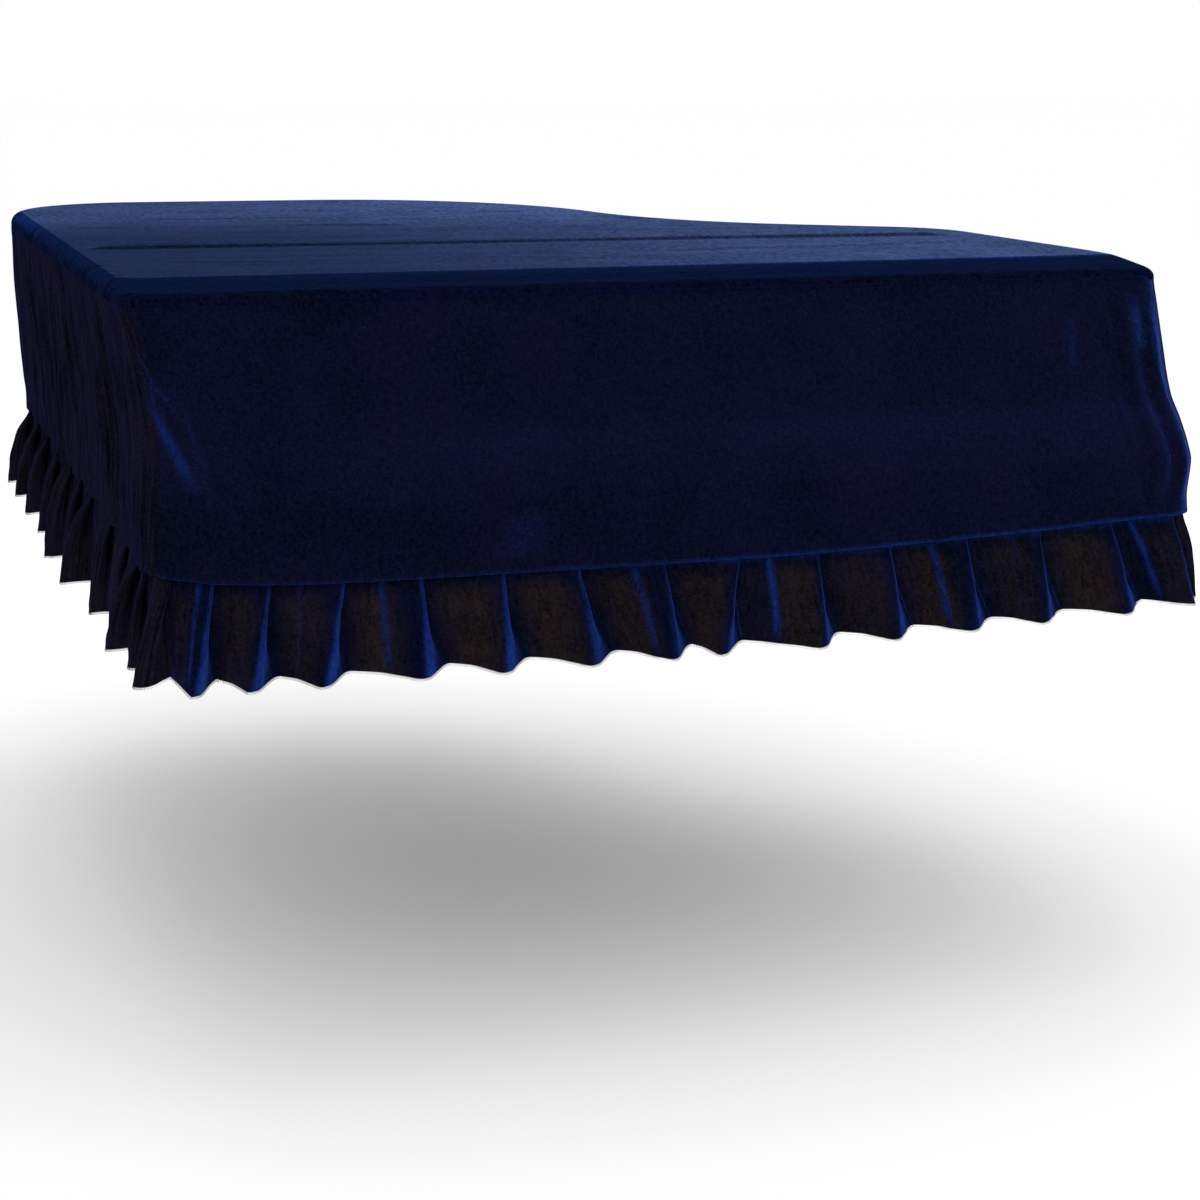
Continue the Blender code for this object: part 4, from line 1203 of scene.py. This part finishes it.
def ruffle_sheet(side, start, end, pleats, opening):
    """A strip of ruffle hung inside the skirt's edge, pleated at its head and flaring to its hem."""
    columns = []
    before = (start[0] - CLEAR_OF_FOLD, start[1])
    for pleat, spread in pleats:
        columns += pleat_columns(before, pleat, spread)
        before = (pleat.head, pleat.hem + VALLEY * spread)
    for along, deep in STRIP_END:
        on, sink = along * ALLOWANCE, -deep * ALLOWANCE_SINK
        columns.append(Column(end[0] + on, sink, end[1] + on, sink, -VALLEY_RISE, STRIP_END_FACE, 0.0, 0.0))
    head_at, head_out, hem_at, hem_out, drop, face, worn, lit = fill_in(columns).T[:, None, :]
    share = np.linspace(0, 1, RUFFLE_ROWS)[:, None]
    shifted, sprung = ease_through(opening[:, 0], opening[:, 1:], share).transpose(2, 0, 1)
    head = seam_z(head_at) + LAP
    z = head + (hem_z(head_at) - drop - head) * share
    station = head_at + (hem_at - head_at) * shifted
    out = head_out + (hem_out - head_out) * sprung
    hung = np.maximum(z, seam_z(head_at))
    base = main_folds(head_at, -hung) + fine_creases(head_at, -hung) - CLOTH / 2
    base = base * (1 - FOLDS_LOST * shifted) - CLOTH - LAP_GAP - 2 * LAYER
    crumpled = crumple(wall(station, z, base + out), *RUFFLE_CRUMPLE) * ramp(share, *CRUMPLED_BELOW)
    grid = wall(station, z, base + out + crumpled)
    across = np.cumsum(np.concatenate(([0.0], np.linalg.norm(np.diff(grid[-1], axis=0), axis=1))))
    if side == "front":
        finish = "ruffle velvet"
        # The front strip's brown patches are thin nap and painted backlight; its lit mark is painted
        # highlight
        marks = {"worn": worn * ramp(share, *BROWN_BELOW), "lit": front_ruffle_lit(share, head_at, face, lit)}
    else:
        finish = "gathered velvet"
        marks = {"worn": np.maximum(worn, LEAST_BROWN), "lit": 0.0}
    name = f"{side}_ruffle"
    mesh = grid_mesh(name, grid, across, head - z, marks)
    hang(name, mesh, f"ruffle_{side}", (finish,), BOTH_WAYS)
    return grid[-1]


def hidden_pleats(start, end):
    """Even but not equal pleats for the strips that the front doesn't show."""
    count = round((end - start) / HIDDEN_PITCH)
    pitch = (end - start) / count
    usual, differing = HIDDEN_BROWN
    made = []
    for i in range(count):
        at = start + pitch * (i + 1) + (HIDDEN_STRAY * pitch * uneven(i) if i < count - 1 else 0)
        made.append(Pleat(
            at, at + HIDDEN_LEAN * uneven(2 * i), HIDDEN_FLARE * (1 + HIDDEN_UNEVEN * uneven(i + 3)),
            swell=HIDDEN_SWELL * (1 + uneven(i)), worn=usual + differing * uneven(i + 7)))
    return made


def spread_out(pleats, after):
    """Each pleat with how widely it opens into its wave at the hem: 1 where the next leaves it room."""
    hems = [pleat.hem for pleat in pleats[1:]] + [after]
    return [(pleat, min(1.0, (later - pleat.hem) / ROOM)) for pleat, later in zip(pleats, hems)]


# Each strip's hem, which the overlocking follows
HEM_LINES = {}


class COVER_OT_ruffle(bpy.types.Operator):
    """Hang the four strips of the knife-pleated ruffle"""
    bl_idname = "cover.ruffle"
    bl_label = "Ruffle"

    def execute(self, context):
        make_materials()
        front = [Pleat(head - CORNER_CUT, hem - CORNER_CUT, *rest) for head, hem, *rest in FRONT_PLEATS]
        left = [Pleat(AROUND - head, AROUND - hem, flare) for head, hem, flare in LEFT_PLEATS]
        right_end = corner_station(SHOULDER) + RIGHT_END
        tail_end = corner_station(REAR_LEFT) - TAIL_END
        turn = corner_station(FRONT_RIGHT) + CORNER_TIP
        at_corner = Pleat(turn, turn, CORNER_FLARE, worn=CORNER_BROWN, worn_at=0.5)
        right = [at_corner] + hidden_pleats(turn, right_end)
        curve = hidden_pleats(right_end, tail_end)
        strips = (
            ("front", spread_out(front, turn), FRONT_OPENING),
            ("right", spread_out(right, curve[0].hem), SIDE_OPENING),
            ("curve", spread_out(curve, left[0].hem), SIDE_OPENING),
            ("left", spread_out(left, front[0].hem + AROUND), SIDE_OPENING),
        )
        lasts = [pleats[-1] for _, pleats, _ in strips]
        ends = [(pleat.head - TUCK, pleat.hem + JOIN * spread) for pleat, spread in lasts]
        begin = (ends[-1][0] - AROUND + STRIP_GAP, ends[-1][1] - AROUND + STRIP_GAP)
        for (side, pleats, opening), end in zip(strips, ends):
            HEM_LINES[side] = ruffle_sheet(side, begin, end, pleats, opening)
            begin = (end[0] + STRIP_GAP, end[1] + STRIP_GAP)
        return {"FINISHED"}


# The hem

def stitch_tree():
    """Loops of thread round an edge that a curve follows, a pitch apart, each slanted along it."""
    tree = bpy.data.node_groups.new("overlock stitches", "GeometryNodeTree")
    tree.interface.new_socket("Geometry", in_out="INPUT", socket_type="NodeSocketGeometry")
    for name in ("Pitch", "Bite", "Half Thickness", "Thread", "Slant"):
        tree.interface.new_socket(name, in_out="INPUT", socket_type="NodeSocketFloat")
    tree.interface.new_socket("Material", in_out="INPUT", socket_type="NodeSocketMaterial")
    tree.interface.new_socket("Geometry", in_out="OUTPUT", socket_type="NodeSocketGeometry")
    given = tree.nodes.new("NodeGroupInput").outputs
    spaced = add(tree, "GeometryNodeResampleCurve", {"mode": "LENGTH"},
                 {"Curve": given["Geometry"], "Length": given["Pitch"]})
    upright = add(tree, "GeometryNodeSetCurveNormal", {"mode": "Z_UP"}, {"Curve": spaced.outputs["Curve"]})
    points = add(tree, "GeometryNodeCurveToPoints", {"mode": "EVALUATED"},
                 {"Curve": upright.outputs["Curve"]})
    circle = add(tree, "GeometryNodeCurvePrimitiveCircle",
                 {"mode": "RADIUS", "Resolution": 8, "Radius": 1.0})
    size = add(tree, "ShaderNodeCombineXYZ", {"Z": 1.0}, {"X": given["Half Thickness"], "Y": given["Bite"]})
    rise = add(tree, "ShaderNodeMath", {"operation": "MULTIPLY", 1: STITCH_RISE}, {0: given["Bite"]})
    lift = add(tree, "ShaderNodeCombineXYZ", {}, {"Y": rise.outputs[0]})
    tilt = add(tree, "ShaderNodeCombineXYZ", {}, {"X": given["Slant"]})
    loop = add(tree, "GeometryNodeTransform", {}, {
        "Geometry": circle.outputs["Curve"], "Scale": size.outputs[0], "Rotation": tilt.outputs[0],
        "Translation": lift.outputs[0]})
    section = add(tree, "GeometryNodeCurvePrimitiveCircle", {"mode": "RADIUS", "Resolution": 3},
                  {"Radius": given["Thread"]})
    tube = add(tree, "GeometryNodeCurveToMesh", {},
               {"Curve": loop.outputs["Geometry"], "Profile Curve": section.outputs["Curve"]})
    placed = add(tree, "GeometryNodeInstanceOnPoints", {}, {
        "Points": points.outputs["Points"], "Instance": tube.outputs["Mesh"],
        "Rotation": points.outputs["Rotation"]})
    real = add(tree, "GeometryNodeRealizeInstances", {}, {"Geometry": placed.outputs["Instances"]})
    dyed = add(tree, "GeometryNodeSetMaterial", {},
               {"Geometry": real.outputs["Geometry"], "Material": given["Material"]})
    add(tree, "NodeGroupOutput", {}, {"Geometry": dyed.outputs["Geometry"]})
    return tree


def stitch_hem(name, line, tree, values):
    """One strip's row of overlocking, as a plain mesh."""
    curve = bpy.data.curves.new(name, "CURVE")
    curve.dimensions = "3D"
    spline = curve.splines.new("POLY")
    spline.points.add(len(line) - 1)
    spline.points.foreach_set("co", np.column_stack((line, np.ones(len(line)))).ravel())
    edge = put(name + "_line", curve)
    sewn = edge.modifiers.new("stitches", "NODES")
    sewn.node_group = tree
    for item in tree.interface.items_tree:
        if item.in_out == "INPUT" and item.name in values:
            sewn[item.identifier] = values[item.name]
    mesh = finished_mesh(edge)
    bpy.data.objects.remove(edge)
    mesh.name = name
    mesh.shade_smooth()
    row = put(name, mesh)
    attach(row, "root")


class COVER_OT_hem(bpy.types.Operator):
    """Overlock the ruffle's hem"""
    bl_idname = "cover.hem"
    bl_label = "Hem"

    def execute(self, context):
        if not HEM_LINES:
            raise RuntimeError("the ruffle is hung before its hem is overlocked")
        look = context.scene.velvet_cover
        tree = stitch_tree()
        values = {
            "Pitch": look.stitch_pitch, "Bite": look.stitch_bite / 2, "Thread": look.thread_width / 2,
            "Half Thickness": look.cloth_thickness / 2 + look.thread_width / 2,
            "Slant": STITCH_SLANT, "Material": bpy.data.materials["overlocking thread"]}
        for name, line in HEM_LINES.items():
            stitch_hem(f"{name}_overlocking", line, tree, values)
        return {"FINISHED"}


# The stage

def lamp(name, place, aim, size, power):
    """A white softbox that points at a place."""
    light = bpy.data.lights.new(name, "AREA")
    light.shape = "RECTANGLE"
    light.size, light.size_y = size
    light.energy = power
    made = put(name, light)
    made.location = place
    made.rotation_euler = (Vector(aim) - Vector(place)).to_track_quat("-Z", "Y").to_euler()


def view_matrix():
    """The camera's turn and place, from its yaw, pitch and roll."""
    up = Vector((0, 0, 1))
    right = Vector((math.cos(EYE_YAW), -math.sin(EYE_YAW), 0))
    ahead = Vector((math.sin(EYE_YAW), math.cos(EYE_YAW), 0))
    look = ahead * math.cos(EYE_PITCH) - up * math.sin(EYE_PITCH)
    level = up * math.cos(EYE_PITCH) + ahead * math.sin(EYE_PITCH)
    side = right * math.cos(EYE_ROLL) + level * math.sin(EYE_ROLL)
    head = -right * math.sin(EYE_ROLL) + level * math.cos(EYE_ROLL)
    turned = Matrix((side, head, -look)).transposed().to_4x4()
    turned.translation = EYE
    return turned


class COVER_OT_stage(bpy.types.Operator):
    """Set out the floor, the lights and the camera"""
    bl_idname = "cover.stage"
    bl_label = "Stage"

    def execute(self, context):
        scene = context.scene
        # Matt white paint, as on a studio's floor: hardly any gloss
        colour = (*scene.velvet_cover.floor_colour, 1.0)
        finish_material(new_material("painted floor"),
                        {"Base Color": colour, "Roughness": 0.9, "Specular IOR Level": 0.1})
        corners = ((-1, -1), (1, -1), (1, 1), (-1, 1))
        mesh = bpy.data.meshes.new("floor")
        mesh.from_pydata([(x * FLOOR_HALF, y * FLOOR_HALF, FLOOR) for x, y in corners], [], [(0, 1, 2, 3)])
        mesh.materials.append(bpy.data.materials["painted floor"])
        floor = put("floor", mesh)
        for row in LAMPS:
            lamp(*row)
        world = bpy.data.worlds.new("studio")
        world.use_nodes = True
        background = world.node_tree.nodes["Background"]
        background.inputs["Color"].default_value = (1.0, 1.0, 1.0, 1.0)
        background.inputs["Strength"].default_value = 1.0
        scene.world = world
        scene.view_settings.view_transform = "Standard"
        camera = bpy.data.cameras.new("camera")
        camera.sensor_width = SENSOR
        camera.lens = EYE_LENS
        camera.clip_end = FAR
        eye = put("camera", camera)
        eye.matrix_world = view_matrix()
        scene.camera = eye
        return {"FINISHED"}


class CoverSettings(bpy.types.PropertyGroup):
    """Sizes and colours of the cover that a user would change"""
    cloth_thickness: FloatProperty(
        name="Cloth thickness", description="Thickness of the velvet", default=0.0014, unit="LENGTH")
    velvet_colour: FloatVectorProperty(
        name="Velvet", description="The pile looked into", default=hex_linear("#02030e"), subtype="COLOR")
    velvet_lift: FloatVectorProperty(
        name="Velvet, leaning", description="The pile where it leans",
        default=hex_linear("#0a0f26"), subtype="COLOR")
    sheen_colour: FloatVectorProperty(
        name="Sheen", description="The pile's edge light", default=hex_linear("#4a78ff"), subtype="COLOR")
    sheen: FloatProperty(name="Sheen weight", description="How strong the edge light is", default=0.8)
    sheen_roughness: FloatProperty(
        name="Sheen spread", description="How far the edge light spreads", default=0.35, subtype="FACTOR")
    top_sheen_colour: FloatVectorProperty(
        name="Sheen of the top", description="The edge light on the top",
        default=hex_linear("#79a2ff"), subtype="COLOR")
    top_sheen: FloatProperty(name="Sheen weight of the top", description="Its strength there", default=0.19)
    thread_colour: FloatVectorProperty(
        name="Thread", description="Overlocking thread", default=hex_linear("#4a403c"), subtype="COLOR")
    thread_width: FloatProperty(
        name="Thread width", description="Diameter of the overlocking thread", default=0.0007, unit="LENGTH")
    stitch_pitch: FloatProperty(
        name="Stitch pitch", description="From one overlocking loop to the next",
        default=0.0032, unit="LENGTH")
    stitch_bite: FloatProperty(
        name="Stitch bite", description="How far the overlocking reaches up the cloth",
        default=0.0042, unit="LENGTH")
    floor_colour: FloatVectorProperty(
        name="Floor", description="Colour of the floor", default=hex_linear("#ffffff"), subtype="COLOR")


class COVER_PT_panel(bpy.types.Panel):
    """The cover's pieces, in the order in which they are made"""
    bl_label = "Velvet Cover"
    bl_idname = "COVER_PT_panel"
    bl_space_type = "VIEW_3D"
    bl_region_type = "UI"
    bl_category = "Cover"

    def draw(self, context):
        for made in PIECES:
            self.layout.operator(made.bl_idname)
        for name in CoverSettings.__annotations__:
            self.layout.prop(context.scene.velvet_cover, name)


PIECES = (COVER_OT_top, COVER_OT_skirt, COVER_OT_ruffle, COVER_OT_hem, COVER_OT_stage)
CLASSES = (CoverSettings, *PIECES, COVER_PT_panel)


def register():
    """Make the settings, the operators and the panel known."""
    for made in CLASSES:
        bpy.utils.register_class(made)
    bpy.types.Scene.velvet_cover = PointerProperty(type=CoverSettings)


def unregister():
    """Take them out again."""
    del bpy.types.Scene.velvet_cover
    for made in reversed(CLASSES):
        bpy.utils.unregister_class(made)


def main():
    """Make every piece in order."""
    register()
    bpy.ops.cover.top()
    bpy.ops.cover.skirt()
    bpy.ops.cover.ruffle()
    bpy.ops.cover.hem()
    bpy.ops.cover.stage()


if __name__ == "__main__":
    main()
